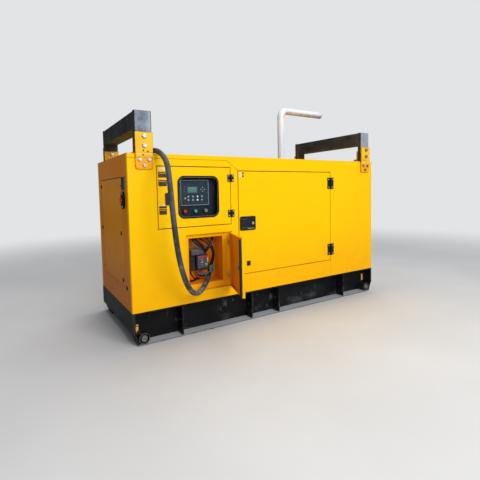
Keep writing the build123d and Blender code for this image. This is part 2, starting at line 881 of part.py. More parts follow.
hanger_straps.part.label = "hanger_straps"
export_step(hanger_straps.part, "parts/hanger_straps.step")

# Angle cleats hold each post's inner face to the roof
with BuildPart() as hanger_cleats:
    for start in (left + hanger_inset, right - hanger_inset - tube_size):
        with BuildSketch(Plane(origin=(start, beam_start, roof_top), x_dir=(0, 1, 0), z_dir=(1, 0, 0))):
            with BuildLine():
                Polyline(
                    (0, 0),
                    (cleat_foot, 0),
                    (cleat_foot, cleat_plate),
                    (cleat_plate, cleat_plate),
                    (cleat_plate, cleat_height),
                    (0, cleat_height),
                    close=True,
                )
            make_face()
        extrude(amount=tube_size)
    mirror(about=Plane.XZ)
hanger_cleats.part.label = "hanger_cleats"
export_step(hanger_cleats.part, "parts/hanger_cleats.step")

# Emergency stop on the left end
stop_face = Plane(
    origin=(left, front + stop_inset, roof_top - stop_drop), x_dir=(0, -1, 0), z_dir=(-1, 0, 0)
)
with BuildPart() as stop_box:
    with BuildSketch(stop_face):
        SlotOverall(stop_box_height, stop_box_width, rotation=90)
    extrude(amount=stop_box_depth)
stop_box.part.label = "stop_box"
export_step(stop_box.part, "parts/stop_box.step")

# Mushroom button, turned about the axis that leaves the box
with BuildPart() as stop_button:
    with BuildSketch(Plane(origin=stop_face.origin, x_dir=(-1, 0, 0), z_dir=(0, -1, 0))):
        with BuildLine():
            Polyline(
                (stop_box_depth, 0),
                (stop_box_depth, stop_stem_radius),
                (stop_box_depth + stop_button_proud / 2, stop_stem_radius),
                (stop_box_depth + stop_button_proud / 2, stop_button_radius),
                (stop_box_depth + stop_button_proud - stop_button_bevel, stop_button_radius),
                (stop_box_depth + stop_button_proud, stop_button_radius - stop_button_bevel),
                (stop_box_depth + stop_button_proud, 0),
                close=True,
            )
        make_face()
    revolve(axis=Axis(stop_face.origin, (-1, 0, 0)))
stop_button.part.label = "stop_button"
export_step(stop_button.part, "parts/stop_button.step")

# Control housing: a tray whose floor carries the controller and the switches
with BuildPart() as control_housing:
    with BuildSketch(front_face.offset(-wall)):
        with Locations((control_left - housing_flange, control_bottom - housing_flange)):
            Rectangle(control_width + 2 * housing_flange, control_height + 2 * housing_flange, align=CORNER)
    extrude(amount=-(housing_depth - wall + housing_plate))
    with BuildSketch(front_face.offset(-wall)):
        with Locations((control_left, control_bottom)):
            Rectangle(control_width, control_height, align=CORNER)
    extrude(amount=-(housing_depth - wall), mode=Mode.SUBTRACT)
control_housing.part.label = "control_housing"
export_step(control_housing.part, "parts/control_housing.step")

fascia = front_face.offset(-housing_depth)
controller_left = control_left + controller_inset
controller_bottom = control_bottom + control_height - controller_drop - controller_height
controller_face = fascia.offset(controller_proud)
with BuildPart() as controller:
    with BuildSketch(fascia):
        with Locations((controller_left, controller_bottom)):
            Rectangle(controller_width, controller_height, align=CORNER)
    extrude(amount=controller_proud)
    with BuildSketch(controller_face):
        with Locations((controller_left + bezel_wall, controller_bottom + bezel_wall)):
            Rectangle(controller_width - 2 * bezel_wall, controller_height - 2 * bezel_wall, align=CORNER)
    extrude(amount=-bezel_wall / 2, mode=Mode.SUBTRACT)
    with BuildSketch(controller_face.offset(-bezel_wall / 2)):
        with Locations(
            (controller_left + screen_inset, controller_bottom + controller_height - screen_drop - screen_height)
        ):
            Rectangle(screen_width, screen_height, align=CORNER)
    extrude(amount=-screen_well, mode=Mode.SUBTRACT)
    with BuildSketch(controller_face.offset(-bezel_wall / 2)):
        with Locations((controller_left + controller_width / 2, controller_bottom + key_row_lift + key_row_pitch / 2)):
            with GridLocations(key_pitch, key_row_pitch, key_columns, 2):
                Circle(key_cap_radius)
    extrude(amount=key_cap_proud)
controller.part.label = "controller"
export_step(controller.part, "parts/controller.step")

# Two push buttons and a key switch in a row under the controller
switch_middle = controller_left + controller_width / 2
with BuildPart() as control_switches:
    for reach, radius in ((switch_proud / 2, switch_radius), (switch_proud, switch_cap_radius)):
        with BuildSketch(fascia):
            with Locations((switch_middle, controller_bottom - switch_drop)):
                with GridLocations(switch_spacing, 1, 3, 1):
                    Circle(radius)
        extrude(amount=reach)
control_switches.part.label = "control_switches"
export_step(control_switches.part, "parts/control_switches.step")

# Terminal box: a mouth plate in the rabbet, and a box behind it
with BuildPart() as terminal_box:
    with BuildSketch(front_face.offset(-rabbet_depth)):
        with Locations((terminal_left, terminal_bottom)):
            Rectangle(terminal_width, terminal_height, align=CORNER)
    extrude(amount=-box_plate)
    with BuildSketch(front_face.offset(-rabbet_depth)):
        with Locations((mouth_left - box_plate, mouth_bottom - box_plate)):
            Rectangle(mouth_width + 2 * box_plate, mouth_height + 2 * box_plate, align=CORNER)
    extrude(amount=-(box_depth - rabbet_depth + box_plate))
    with BuildSketch(front_face.offset(-rabbet_depth)):
        with Locations((mouth_left, mouth_bottom)):
            Rectangle(mouth_width, mouth_height, align=CORNER)
    extrude(amount=-(box_depth - rabbet_depth), mode=Mode.SUBTRACT)
terminal_box.part.label = "terminal_box"
export_step(terminal_box.part, "parts/terminal_box.step")

box_back = front_face.offset(-box_depth)
breaker_left = mouth_left + breaker_inset
breaker_bottom = mouth_bottom + breaker_lift
breaker_front = box_back.offset(breaker_depth)
breaker_middle = (breaker_left + breaker_width / 2, breaker_bottom + breaker_height / 2)
with BuildPart() as breaker:
    with BuildSketch(box_back):
        with Locations(breaker_middle):
            Rectangle(breaker_width, breaker_height)
    extrude(amount=breaker_depth)
    with BuildSketch(breaker_front):
        with Locations(breaker_middle):
            Rectangle(breaker_nose_width, breaker_nose_height)
    extrude(amount=breaker_nose_depth)
breaker.part.label = "breaker"
export_step(breaker.part, "parts/breaker.step")

with BuildPart() as terminal_strip:
    with BuildSketch(box_back):
        with Locations((mouth_left + strip_inset, mouth_bottom + strip_lift)):
            Rectangle(strip_width, strip_height, align=CORNER)
    extrude(amount=strip_depth)
terminal_strip.part.label = "terminal_strip"
export_step(terminal_strip.part, "parts/terminal_strip.step")

# Service doors
bay_pivot = bay_right - door_gap / 2
door_width = bay_width - 2 * door_gap
door_bottom = sill_height + door_gap
door_height = bay_top - sill_height - 2 * door_gap
door_frame = door_plane(bay_pivot, 0).offset(pin_proud)
with BuildPart() as front_door:
    with BuildSketch(door_frame):
        with Locations((door_gap / 2, door_bottom)):
            Rectangle(door_width, door_height, align=CORNER)
    extrude(amount=door_thick)
    fillet(front_door.faces().sort_by(Axis.Y)[0].edges(), edge_round)
    with BuildSketch(door_frame.offset(door_thick)):
        with Locations((door_gap / 2 + lining_margin, door_bottom + lining_margin)):
            Rectangle(door_width - 2 * lining_margin, door_height - 2 * lining_margin, align=CORNER)
    extrude(amount=-lining_recess, mode=Mode.SUBTRACT)
front_door.part.label = "front_door"
export_step(front_door.part, "parts/front_door.step")

# Paddle lock: a framed well, with the paddle and the key barrel in it
lock_place = (bay_left + door_gap + lock_inset + lock_width / 2, door_bottom + lock_height_on_door)
well_width = lock_width - 2 * lock_border
well_height = lock_height - 2 * lock_border
lock_face = front_face.offset(lock_frame)
with BuildPart() as front_door_lock:
    with BuildSketch(front_face):
        with Locations(lock_place):
            RectangleRounded(lock_width, lock_height, lock_round)
    extrude(amount=lock_frame)
    with BuildSketch(lock_face):
        with Locations(lock_place):
            RectangleRounded(well_width, well_height, lock_round / 2)
    extrude(amount=-lock_well, mode=Mode.SUBTRACT)
    with BuildSketch(lock_face.offset(-lock_well)):
        with Locations((lock_place[0] - well_width / 2, lock_place[1])):
            Rectangle(paddle_width, well_height - 2 * lock_border, align=(Align.MIN, Align.CENTER))
    extrude(amount=paddle_thick)
    with BuildSketch(lock_face.offset(-lock_well)):
        with Locations((lock_place[0] + lock_width / 2 - key_inset + lock_border, lock_place[1])):
            Circle(key_radius)
    extrude(amount=lock_well + paddle_thick)
front_door_lock.part.label = "front_door_lock"
export_step(front_door_lock.part, "parts/front_door_lock.step")

door_hinge_places = (door_bottom + door_hinge_inset, door_bottom + door_height - door_hinge_inset)
door_halves = [hinge_half(bay_pivot, 0, door_leaf, place, True) for place in door_hinge_places]
with BuildPart() as front_door_hinges:
    add(door_halves)
front_door_hinges.part.label = "front_door_hinges"
export_step(front_door_hinges.part, "parts/front_door_hinges.step")

with BuildPart() as rear_door:
    mirror(front_door.part, about=Plane.XZ)
rear_door.part.label = "rear_door"
export_step(rear_door.part, "parts/rear_door.step")

with BuildPart() as rear_door_lock:
    mirror(front_door_lock.part, about=Plane.XZ)
rear_door_lock.part.label = "rear_door_lock"
export_step(rear_door_lock.part, "parts/rear_door_lock.step")

with BuildPart() as rear_door_hinges:
    mirror(front_door_hinges.part, about=Plane.XZ)
rear_door_hinges.part.label = "rear_door_hinges"
export_step(rear_door_hinges.part, "parts/rear_door_hinges.step")

# Control door with its window
control_pivot = control_left + control_width - door_gap / 2
control_door_left = control_left + door_gap
control_door_bottom = control_bottom + door_gap
control_door_width = control_width - 2 * door_gap
control_door_height = control_height - 2 * door_gap
window_width = control_door_width - window_left_margin - window_right_margin
window_height = control_door_height - window_bottom_margin - window_top_margin
window_middle = (
    control_door_left + window_left_margin + window_width / 2,
    control_door_bottom + window_bottom_margin + window_height / 2,
)
with BuildPart() as control_door:
    with BuildSketch(front_face):
        with Locations((control_door_left, control_door_bottom)):
            Rectangle(control_door_width, control_door_height, align=CORNER)
        with Locations(window_middle):
            RectangleRounded(window_width, window_height, window_corner, mode=Mode.SUBTRACT)
    extrude(amount=-control_door_thick)
    fillet(control_door.faces().sort_by(Axis.Y)[0].outer_wire().edges(), edge_round)
control_door.part.label = "control_door"
export_step(control_door.part, "parts/control_door.step")

with BuildPart() as control_door_seal:
    with BuildSketch(front_face.offset(seal_proud)):
        with Locations(window_middle):
            RectangleRounded(window_width, window_height, window_corner)
            RectangleRounded(
                window_width - 2 * seal_width,
                window_height - 2 * seal_width,
                window_corner - seal_width,
                mode=Mode.SUBTRACT,
            )
    extrude(amount=-(control_door_thick + seal_proud))
control_door_seal.part.label = "control_door_seal"
export_step(control_door_seal.part, "parts/control_door_seal.step")

with BuildPart() as control_door_pane:
    with BuildSketch(front_face.offset(-control_door_thick / 2)):
        with Locations(window_middle):
            RectangleRounded(
                window_width - 2 * seal_width, window_height - 2 * seal_width, window_corner - seal_width
            )
    extrude(amount=pane_thick)
control_door_pane.part.label = "control_door_pane"
export_step(control_door_pane.part, "parts/control_door_pane.step")

with BuildPart() as control_door_lock:
    with BuildSketch(front_face):
        with Locations(
            (control_door_left + small_lock_inset, control_door_bottom + control_door_height / 2 + small_lock_lift)
        ):
            RectangleRounded(small_lock_width, small_lock_height, small_lock_width / 4)
    extrude(amount=lock_frame)
control_door_lock.part.label = "control_door_lock"
export_step(control_door_lock.part, "parts/control_door_lock.step")

control_hinge_places = (
    control_door_bottom + small_hinge_inset,
    control_door_bottom + control_door_height - small_hinge_inset,
)
control_halves = [hinge_half(control_pivot, 0, small_leaf, place, True) for place in control_hinge_places]
with BuildPart() as control_door_hinges:
    add(control_halves)
control_door_hinges.part.label = "control_door_hinges"
export_step(control_door_hinges.part, "parts/control_door_hinges.step")

# Terminal door: a shallow pan, standing open on its pins
terminal_pivot = terminal_left + terminal_width - door_gap / 2
terminal_door_bottom = terminal_bottom + door_gap
terminal_door_width = terminal_width - 2 * door_gap
terminal_door_height = terminal_height - 2 * door_gap
pan_face = door_plane(terminal_pivot, terminal_door_open).offset(pin_proud)
with BuildPart() as terminal_door:
    with BuildSketch(pan_face):
        with Locations((door_gap / 2, terminal_door_bottom)):
            Rectangle(terminal_door_width, terminal_door_height, align=CORNER)
    extrude(amount=terminal_door_thick)
    with BuildSketch(pan_face.offset(terminal_door_skin)):
        with Locations((door_gap / 2 + terminal_door_skin, terminal_door_bottom + terminal_door_skin)):
            Rectangle(
                terminal_door_width - 2 * terminal_door_skin,
                terminal_door_height - 2 * terminal_door_skin,
                align=CORNER,
            )
    extrude(amount=terminal_door_thick, mode=Mode.SUBTRACT)
terminal_door.part.label = "terminal_door"
export_step(terminal_door.part, "parts/terminal_door.step")

# Gasket strip along the terminal door's free edge
with BuildPart() as terminal_door_seal:
    with BuildSketch(pan_face.offset(terminal_door_skin)):
        with Locations((door_gap / 2 + terminal_door_width - gasket_inset, terminal_door_bottom + gasket_inset)):
            Rectangle(gasket_width, terminal_door_height - 2 * gasket_inset, align=(Align.MAX, Align.MIN))
    extrude(amount=gasket_thick)
terminal_door_seal.part.label = "terminal_door_seal"
export_step(terminal_door_seal.part, "parts/terminal_door_seal.step")

# Latch at the free edge: a body on the skin, and a tongue that catches behind the mouth plate
latch_middle = terminal_door_bottom + terminal_door_height / 2
latch_right = terminal_door_width - latch_inset
with BuildPart() as terminal_door_latch:
    with BuildSketch(pan_face.offset(terminal_door_skin)):
        with Locations((latch_right, latch_middle)):
            Rectangle(latch_width, latch_height, align=(Align.MAX, Align.CENTER))
    extrude(amount=terminal_door_thick + latch_depth)
    with BuildSketch(pan_face.offset(terminal_door_thick + latch_depth)):
        with Locations((latch_right, latch_middle)):
            Rectangle(tongue_reach, tongue_height, align=(Align.MIN, Align.CENTER))
    extrude(amount=tongue_plate / 2, both=True)
terminal_door_latch.part.label = "terminal_door_latch"
export_step(terminal_door_latch.part, "parts/terminal_door_latch.step")

terminal_hinge_places = (
    terminal_door_bottom + small_hinge_inset,
    terminal_door_bottom + terminal_door_height - small_hinge_inset,
)
terminal_halves = [
    hinge_half(terminal_pivot, terminal_door_open, small_leaf, place, True) for place in terminal_hinge_places
]
with BuildPart() as terminal_door_hinges:
    add(terminal_halves)
terminal_door_hinges.part.label = "terminal_door_hinges"
export_step(terminal_door_hinges.part, "parts/terminal_door_hinges.step")

# Fixed hinge leaves with their pins, for all four doors
fixed_halves = [hinge_half(bay_pivot, 0, door_leaf, place, False) for place in door_hinge_places]
small_halves = [hinge_half(control_pivot, 0, small_leaf, place, False) for place in control_hinge_places]
small_halves += [hinge_half(terminal_pivot, 0, small_leaf, place, False) for place in terminal_hinge_places]
with BuildPart() as hinge_bases:
    add(fixed_halves)
    mirror(about=Plane.XZ)
    add(small_halves)
hinge_bases.part.label = "hinge_bases"
export_step(hinge_bases.part, "parts/hinge_bases.step")


# Power cable: straight runs joined by arcs as large as the runs allow
def arc_radii(route):
    """One radius for each corner: 0.45 of the shorter run, divided by the tangent of half the turn."""
    radii = []
    for before, corner, after in zip(route, route[1:], route[2:]):
        run_in = Vector(*corner) - Vector(*before)
        run_out = Vector(*after) - Vector(*corner)
        half_turn = math.radians(run_in.get_angle(run_out) / 2)
        radii.append(0.45 * min(run_in.length, run_out.length) / math.tan(half_turn))
    return radii


cable_radii = arc_radii(cable_route)
print("cable radii", [round(radius) for radius in cable_radii])
with BuildPart() as power_cable:
    with BuildLine() as cable_path:
        FilletPolyline(*cable_route, radius=cable_radii)
    start = Vector(*cable_route[0])
    with BuildSketch(Plane(origin=start, z_dir=Vector(*cable_route[1]) - start)):
        Circle(cable_diameter / 2)
    sweep()
cable_section = math.pi * cable_diameter**2 / 4
print("cable length", round(sum(edge.length for edge in cable_path.edges())))
print("cable volume over section", round(power_cable.part.volume / cable_section))
power_cable.part.label = "power_cable"
export_step(power_cable.part, "parts/power_cable.step")

# Tapered boot where the sheath ends in the terminal box
cable_end = Vector(*cable_route[0])
end_direction = (cable_end - Vector(*cable_route[1])).normalized()
with BuildPart() as cable_boot:
    with BuildSketch(Plane(origin=cable_end, x_dir=end_direction, z_dir=end_direction.cross(Vector(0, 0, 1)))):
        with BuildLine():
            Polyline(
                (0, 0),
                (0, cable_diameter / 2),
                (boot_length, boot_end_radius),
                (boot_length, 0),
                close=True,
            )
        make_face()
    revolve(axis=Axis(cable_end, end_direction))
cable_boot.part.label = "cable_boot"
export_step(cable_boot.part, "parts/cable_boot.step")

# The rest of the cable lies on the roof as a flat coil
coil_half = coil_turns * cable_diameter / 2
with BuildPart() as power_cable_coil:
    with BuildSketch(Plane.XY.offset(roof_top + seat_clearance)):
        with Locations(coil_place):
            Circle(coil_radius + coil_half)
            Circle(coil_radius - coil_half, mode=Mode.SUBTRACT)
    extrude(amount=cable_diameter)
power_cable_coil.part.label = "power_cable_coil"
export_step(power_cable_coil.part, "parts/power_cable_coil.step")

# Industrial plug beside the coil, in line with the inner turn: a nut, a barrel and a collar in one profile
inner_turn = coil_radius - coil_half + cable_diameter / 2
outer_edge = coil_radius + coil_half
connector_x = coil_place[0] + math.sqrt(outer_edge**2 - inner_turn**2) + connector_gap
connector_axis = Plane(
    origin=(connector_x, coil_place[1] + inner_turn, roof_top + connector_collar_radius + seat_clearance),
    x_dir=(1, 0, 0),
    z_dir=(0, -1, 0),
)
collar_start = connector_length - connector_collar_length
with BuildPart() as cable_connector:
    with BuildSketch(connector_axis):
        with BuildLine():
            Polyline(
                (0, 0),
                (0, connector_nut_radius),
                (connector_nut_length, connector_nut_radius),
                (connector_nut_length + boot_length / 2, connector_radius),
                (collar_start, connector_radius),
                (collar_start, connector_collar_radius),
                (connector_length, connector_collar_radius),
                (connector_length, 0),
                close=True,
            )
        make_face()
    revolve(axis=Axis(connector_axis.origin, (1, 0, 0)))
cable_connector.part.label = "cable_connector"
export_step(cable_connector.part, "parts/cable_connector.step")
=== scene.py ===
# %% [markdown]
# # A diesel generator set in its canopy
#
# The CAD model holds the canopy, the skid, the doors on their hinges, the engine and the two hanger
# frames at true size. This lesson gives each its finish, adds the small hardware, the wiring and
# the linings, and lights the set on a plain floor. Finishes are worked out in the metres of the
# frame. New shapes are given in its millimetres, since most of them are small.

# %% Load the frame
import math

import bmesh
import bpy
import numpy as np
from mathutils import Matrix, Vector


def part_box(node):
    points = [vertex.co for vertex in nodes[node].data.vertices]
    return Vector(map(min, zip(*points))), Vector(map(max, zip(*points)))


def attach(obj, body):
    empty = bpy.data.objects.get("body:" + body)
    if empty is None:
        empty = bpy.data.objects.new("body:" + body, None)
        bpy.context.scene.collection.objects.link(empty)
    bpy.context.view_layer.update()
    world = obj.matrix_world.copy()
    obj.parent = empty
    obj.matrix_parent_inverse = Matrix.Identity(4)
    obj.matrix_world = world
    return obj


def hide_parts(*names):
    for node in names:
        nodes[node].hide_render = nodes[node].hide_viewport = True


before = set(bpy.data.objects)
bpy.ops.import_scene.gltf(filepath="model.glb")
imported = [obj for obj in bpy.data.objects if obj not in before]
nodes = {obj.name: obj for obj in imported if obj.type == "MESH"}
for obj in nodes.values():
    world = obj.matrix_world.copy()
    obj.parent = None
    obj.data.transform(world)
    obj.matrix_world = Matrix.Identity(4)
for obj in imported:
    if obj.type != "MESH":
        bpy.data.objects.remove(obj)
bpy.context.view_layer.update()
MM = 1000
LEFT, FRONT, DECK = (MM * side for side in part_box("front_shell")[0])
BACK = -FRONT
print(len(nodes), "CAD nodes, canopy", round(-2 * LEFT), "by", round(2 * BACK), "mm")

# %% [markdown]
# ## The camera
#
# A photograph of a long box gives its viewpoint away: the edges that run to the right meet at one
# vanishing point, the edges that run away at another. The place, the turns and the lens come from
# those. The camera's columns are its right, its up and its back.

# %% Camera
show = bpy.context.scene.collection.objects.link


def unit(vectors):
    """The same directions with a length of 1."""
    return vectors / np.linalg.norm(vectors, axis=-1, keepdims=True)


def standing(right, up, back, place):
    """The matrix of a camera or a lamp, from its three axes and its place."""
    matrix = np.eye(4)
    matrix[:3] = np.column_stack([right, up, back, place])
    return Matrix(matrix.tolist())


EYE = np.array([-1.718, -2.675, 0.969])
yaw, pitch, roll = np.radians([31.911, 3.575, -1.137])
ahead = np.array([np.sin(yaw) * np.cos(pitch), np.cos(yaw) * np.cos(pitch), -np.sin(pitch)])
level = np.array([np.cos(yaw), -np.sin(yaw), 0])
above = np.cross(level, ahead)
right = np.cos(roll) * level + np.sin(roll) * above
up = np.cos(roll) * above - np.sin(roll) * level
camera = bpy.data.objects.new("camera", bpy.data.cameras.new("camera"))
camera.data.sensor_width = 36.0
camera.data.lens = 27.09
camera.data.shift_y = -0.0552
camera.matrix_world = standing(right, up, -ahead, EYE)
show(camera)
bpy.context.scene.camera = camera
print("camera", round(float(np.linalg.norm(EYE)), 2), "m from the middle of the skid")

# %% [markdown]
# ## Shader maths as Python
#
# A finish is a small sum: so much dust, so much wear, mixed by masks. Wiring Math nodes by hand
# hides that sum. A Wire wraps one socket and overloads the arithmetic, so 1 - mask adds the node by
# itself, and a Board adds any other node from its kind, its settings and its inputs.

# %% Wire and Board
def maths(operation, swapped=False):
    """A method of Wire that adds one Math node to its board."""
    def method(*values):
        return values[0].board.node("Math", values[::-1] if swapped else values, operation=operation)
    return method


class Wire:
    """One shader socket. Arithmetic on it adds Math nodes to its board."""

    def __init__(self, board, socket):
        self.board = board
        self.socket = socket

    __add__ = __radd__ = maths("ADD")
    __mul__ = __rmul__ = maths("MULTIPLY")
    __sub__ = maths("SUBTRACT")
    __rsub__ = maths("SUBTRACT", swapped=True)
    __or__ = maths("MAXIMUM")
    __abs__ = maths("ABSOLUTE")


def srgb(*levels):
    """Scene-linear colour of three display levels: ((c + 0.055) / 1.055) ** 2.4, straight near black."""
    c = np.array(levels) / 255
    linear = np.where(c <= 0.04045, c / 12.92, ((c + 0.055) / 1.055) ** 2.4)
    return (*linear.tolist(), 1)


class Board:
    """The node tree of a material or of the world."""

    def __init__(self, owner):
        self.owner = owner
        owner.use_nodes = True
        self.tree = owner.node_tree
        self.tree.nodes.clear()

    def node(self, kind, inputs=(), output=0, **settings):
        """Adds a node: its settings, then a value or a Wire for each input."""
        made = self.tree.nodes.new("ShaderNode" + kind)
        for key, value in settings.items():
            setattr(made, key, value)
        pairs = inputs.items() if isinstance(inputs, dict) else enumerate(inputs)
        for key, value in pairs:
            if isinstance(value, Wire):
                self.tree.links.new(value.socket, made.inputs[key])
            elif value is not None:
                made.inputs[key].default_value = value
        return Wire(self, made.outputs[output])

    def spot(self, stretch=(1, 1, 1), shift=0):
        """Object coordinates, the same metres as the CAD, stretched and shifted."""
        here = self.node("TexCoord", output="Object")
        return self.node("Mapping", {"Vector": here, "Location": (shift,) * 3, "Scale": stretch})

    def along(self, vector, axis):
        """The x, y or z of a vector."""
        return self.node("SeparateXYZ", [vector], axis)

    def axes(self):
        """The x, y and z of the surface."""
        here = self.node("TexCoord", output="Object")
        return [self.along(here, axis) for axis in "XYZ"]

    def vector(self, operation, *vectors):
        """The length of a vector, or the dot product of two."""
        return self.node("VectorMath", vectors, "Value", operation=operation)

    def length(self, *offsets):
        """sqrt(x * x + y * y + z * z)."""
        return self.vector("LENGTH", self.node("CombineXYZ", offsets))

    def flat(self):
        """The true normal of the surface."""
        return self.node("NewGeometry", output="Normal")

    def ray(self, kind):
        """1 for rays of that kind."""
        return self.node("LightPath", output="Is " + kind + " Ray")

    def noise(self, scale, detail=2, stretch=(1, 1, 1), shift=0, rough=0.5):
        """Smooth noise round 0.5, with scale lumps to the metre."""
        inputs = {"Vector": self.spot(stretch, shift), "Scale": scale, "Detail": detail, "Roughness": rough}
        return self.node("TexNoise", inputs)

    def ramp(self, value, low, high):
        """Smoothly from 0 at low to 1 at high, t * t * (3 - 2 t)."""
        inputs = {"Value": value, "From Min": low, "From Max": high}
        return self.node("MapRange", inputs, interpolation_type="SMOOTHSTEP")

    def patch(self, low, high, *scale, **noise):
        """That ramp of that noise."""
        return self.ramp(self.noise(*scale, **noise), low, high)

    def mix(self, factor, first, second):
        """From the first colour at 0 to the second at 1. Three plain numbers are display levels."""
        first, second = (c if isinstance(c, Wire) or len(c) == 4 else srgb(*c) for c in (first, second))
        return self.node("Mix", {0: factor, 6: first, 7: second}, 2, data_type="RGBA")

    def coats(self, tone, *coats):
        """Lays a colour over the tone by a mask, for each (mask, colour) in turn."""
        for mask, colour in coats:
            tone = self.mix(mask, tone, colour)
        return tone

    def soft(self, radius):
        """The normal as if edges were rounded to radius."""
        return self.node("Bevel", {"Radius": radius}, samples=4)

    def edge(self, radius):
        """How far that normal leans from the true one: 0 on a flat, up to 0.3 at an edge."""
        return 1 - self.vector("DOT_PRODUCT", self.soft(radius), self.flat())

    def upward(self):
        """1 where the surface faces up, 0 where it stands."""
        return self.ramp(self.along(self.flat(), "Z"), 0.6, 0.95)

    def bump(self, height, distance, normal=None):
        """Relief of that many metres from a height of 0 to 1."""
        return self.node("Bump", {"Distance": distance, "Height": height, "Normal": normal})

    def finish(self, colour, roughness, normal=None, metallic=0, shine=0.5, **fixed):
        """Ends the board in one Principled surface."""
        inputs = {"Base Color": colour, "Roughness": roughness, "Metallic": metallic, "Normal": normal}
        inputs["Specular IOR Level"] = shine
        inputs.update({key.replace("_", " "): value for key, value in fixed.items()})
        self.end(self.node("BsdfPrincipled", inputs))

    def end(self, surface):
        """Links the last shader to the output."""
        kind = "OutputWorld" if isinstance(self.owner, bpy.types.World) else "OutputMaterial"
        made = self.tree.nodes.new("ShaderNode" + kind)
        self.tree.links.new(surface.socket, made.inputs["Surface"])


LOOKS = {}


def board(name):
    """The empty board of a new finish, kept by its name."""
    LOOKS[name] = bpy.data.materials.new(name)
    return Board(LOOKS[name])


# %% [markdown]
# ## Light and floor
#
# Yellow paint looks right under one large soft light from the right and above, with the left end in
# half shade. The world gives the fill. Rays from the camera or through glass see a plain pale
# background instead, and a glossy surface sees a dimmer room, darker to one side. The floor is pale
# and melts into the background far from the set.

# %% World, lamps and floor
PALE = srgb(226, 228, 230)
world = Board(bpy.data.worlds.new("studio"))
bpy.context.scene.world = world.owner
seen = world.ray("Camera") | world.ray("Transmission")
side = world.along(world.node("NewGeometry", output="Incoming"), "X")
gloss = world.mix(world.ramp(side, 0.5, -0.5), (70, 72, 76), (170, 173, 178))
shade = world.mix(world.ramp(side, 0.6, -0.4), (150, 153, 160), (250, 251, 255))
fill = world.node("Background", [shade, 0.56])
sheen = world.node("Background", [gloss, 1])
backdrop = world.node("Background", [PALE, 1])
lit = world.node("MixShader", [world.ray("Glossy"), fill, sheen])
world.end(world.node("MixShader", [seen, lit, backdrop]))


def lamp(name, place, target, size, power):
    """A square soft box at place that faces target."""
    light = bpy.data.lights.new(name, "AREA")
    light.size = size
    light.energy = power
    held = bpy.data.objects.new(name, light)
    back = unit(np.subtract(place, target))
    across = unit(np.cross((0, 0, 1), back))
    held.matrix_world = standing(across, np.cross(back, across), back, place)
    show(held)


lamp("key", (-0.2, -4.9, 3.4), (0, 0, 0.7), 3.2, 188)
lamp("top", (0.3, 0.8, 4.6), (0, 0, 0.9), 3, 55)

b = board("studio_floor")
x, y, _ = b.axes()
tone = b.mix(b.patch(0.3, 0.7, 1.3, 4), (222, 223, 223), (228, 229, 229))
grit = b.noise(90, 2)
matt = b.node("BsdfPrincipled", {"Base Color": tone, "Roughness": 0.55 + 0.2 * grit})
glow = b.node("Emission", [b.mix(b.ray("Glossy"), PALE, (64, 66, 70)), 1])
faded = b.ramp(b.length(x, y, 0), 2.6, 7) | (0.6 * b.ray("Glossy"))
b.end(b.node("MixShader", [faded, matt, glow]))
mesh = bpy.data.meshes.new("floor")
mesh.from_pydata([(-30, -30, 0), (30, -30, 0), (30, 30, 0), (-30, 30, 0)], [], [(0, 1, 2, 3)])
mesh.materials.append(b.owner)
floor = bpy.data.objects.new("floor", mesh)
show(floor)
bpy.context.scene.view_settings.view_transform = "Standard"
print("two lamps, a world and a floor of 60 m")

# %% [markdown]
# ## Shapes as arrays
#
# A screw, a label and a length of wire are the same thing to numpy: a grid of points with quads
# between neighbours. A Place says where on the set it goes and turns across, up and out into x, y
# and z. Nothing here loops over points; each shape is one array expression.

# %% Shape and Place
class Shape:
    """Points, the quads between them, and faces that close the ends. Two shapes add up."""

    def __init__(self, points, quads, caps=()):
        self.points = points
        self.quads = quads
        self.caps = list(caps)

    def __add__(self, other):
        start = len(self.points)
        caps = self.caps + [cap + start for cap in other.caps]
        points = np.vstack([self.points, other.points])
        return Shape(points, np.vstack([self.quads, other.quads + start]), caps)


def join(shapes):
    """All the shapes as one."""
    first, *others = shapes
    return sum(others, start=first)


class Place:
    """A spot on the set and the directions across, up and out (across x up) there."""

    def __init__(self, origin, across=(1, 0, 0), up=(0, 0, 1)):
        self.origin = np.array(origin, float)
        self.axes = np.array([across, up, np.cross(across, up)], float)

    def points(self, across, up, out=0):
        """origin + across * x + up * y + out * z, for numbers or whole arrays."""
        grid = np.stack(np.broadcast_arrays(across, up, out), axis=-1)
        return self.origin + grid @ self.axes

    def at(self, across, up, out=0, turn=0):
        """The spot that far along, turned by that many degrees about out."""
        c, s = np.cos(np.radians(turn)), np.sin(np.radians(turn))
        x, y, _ = self.axes
        return Place(self.points(across, up, out), c * x + s * y, c * y - s * x)


def front(x, z, depth=0):
    """On the control side: x from the left end, z above the skid, depth behind the sheet."""
    return Place((LEFT + x, FRONT + depth, DECK + z))


def rear(x, z, depth=0):
    """The same on the rear side, seen from behind."""
    return Place((LEFT + x, BACK - depth, DECK + z), across=(-1, 0, 0))


def end(y, z, depth=0):
    """On the left end: y from the control side, z above the skid."""
    return Place((LEFT + depth, FRONT + y, DECK + z), across=(0, -1, 0))


def upright(x, y, z):
    """A level spot that faces up."""
    return Place((x, y, z), up=(0, 1, 0))


def lengthwise(x, y, z):
    """A spot that faces the right end."""
    return Place((x, y, z), across=(0, 1, 0))


# %% Surfaces on a grid
def lattice(rows, columns, wrap_rows=False, wrap_columns=False):
    """Quads (i, j), (i, j + 1), (i + 1, j + 1), (i + 1, j) of a grid, wrapped round where asked."""
    i = np.arange(rows - (not wrap_rows))[:, None]
    j = np.arange(columns - (not wrap_columns))[None, :]
    corners = [(i, j), (i, j + 1), (i + 1, j + 1), (i + 1, j)]
    return np.stack([a % rows * columns + b % columns for a, b in corners], axis=-1).reshape(-1, 4)


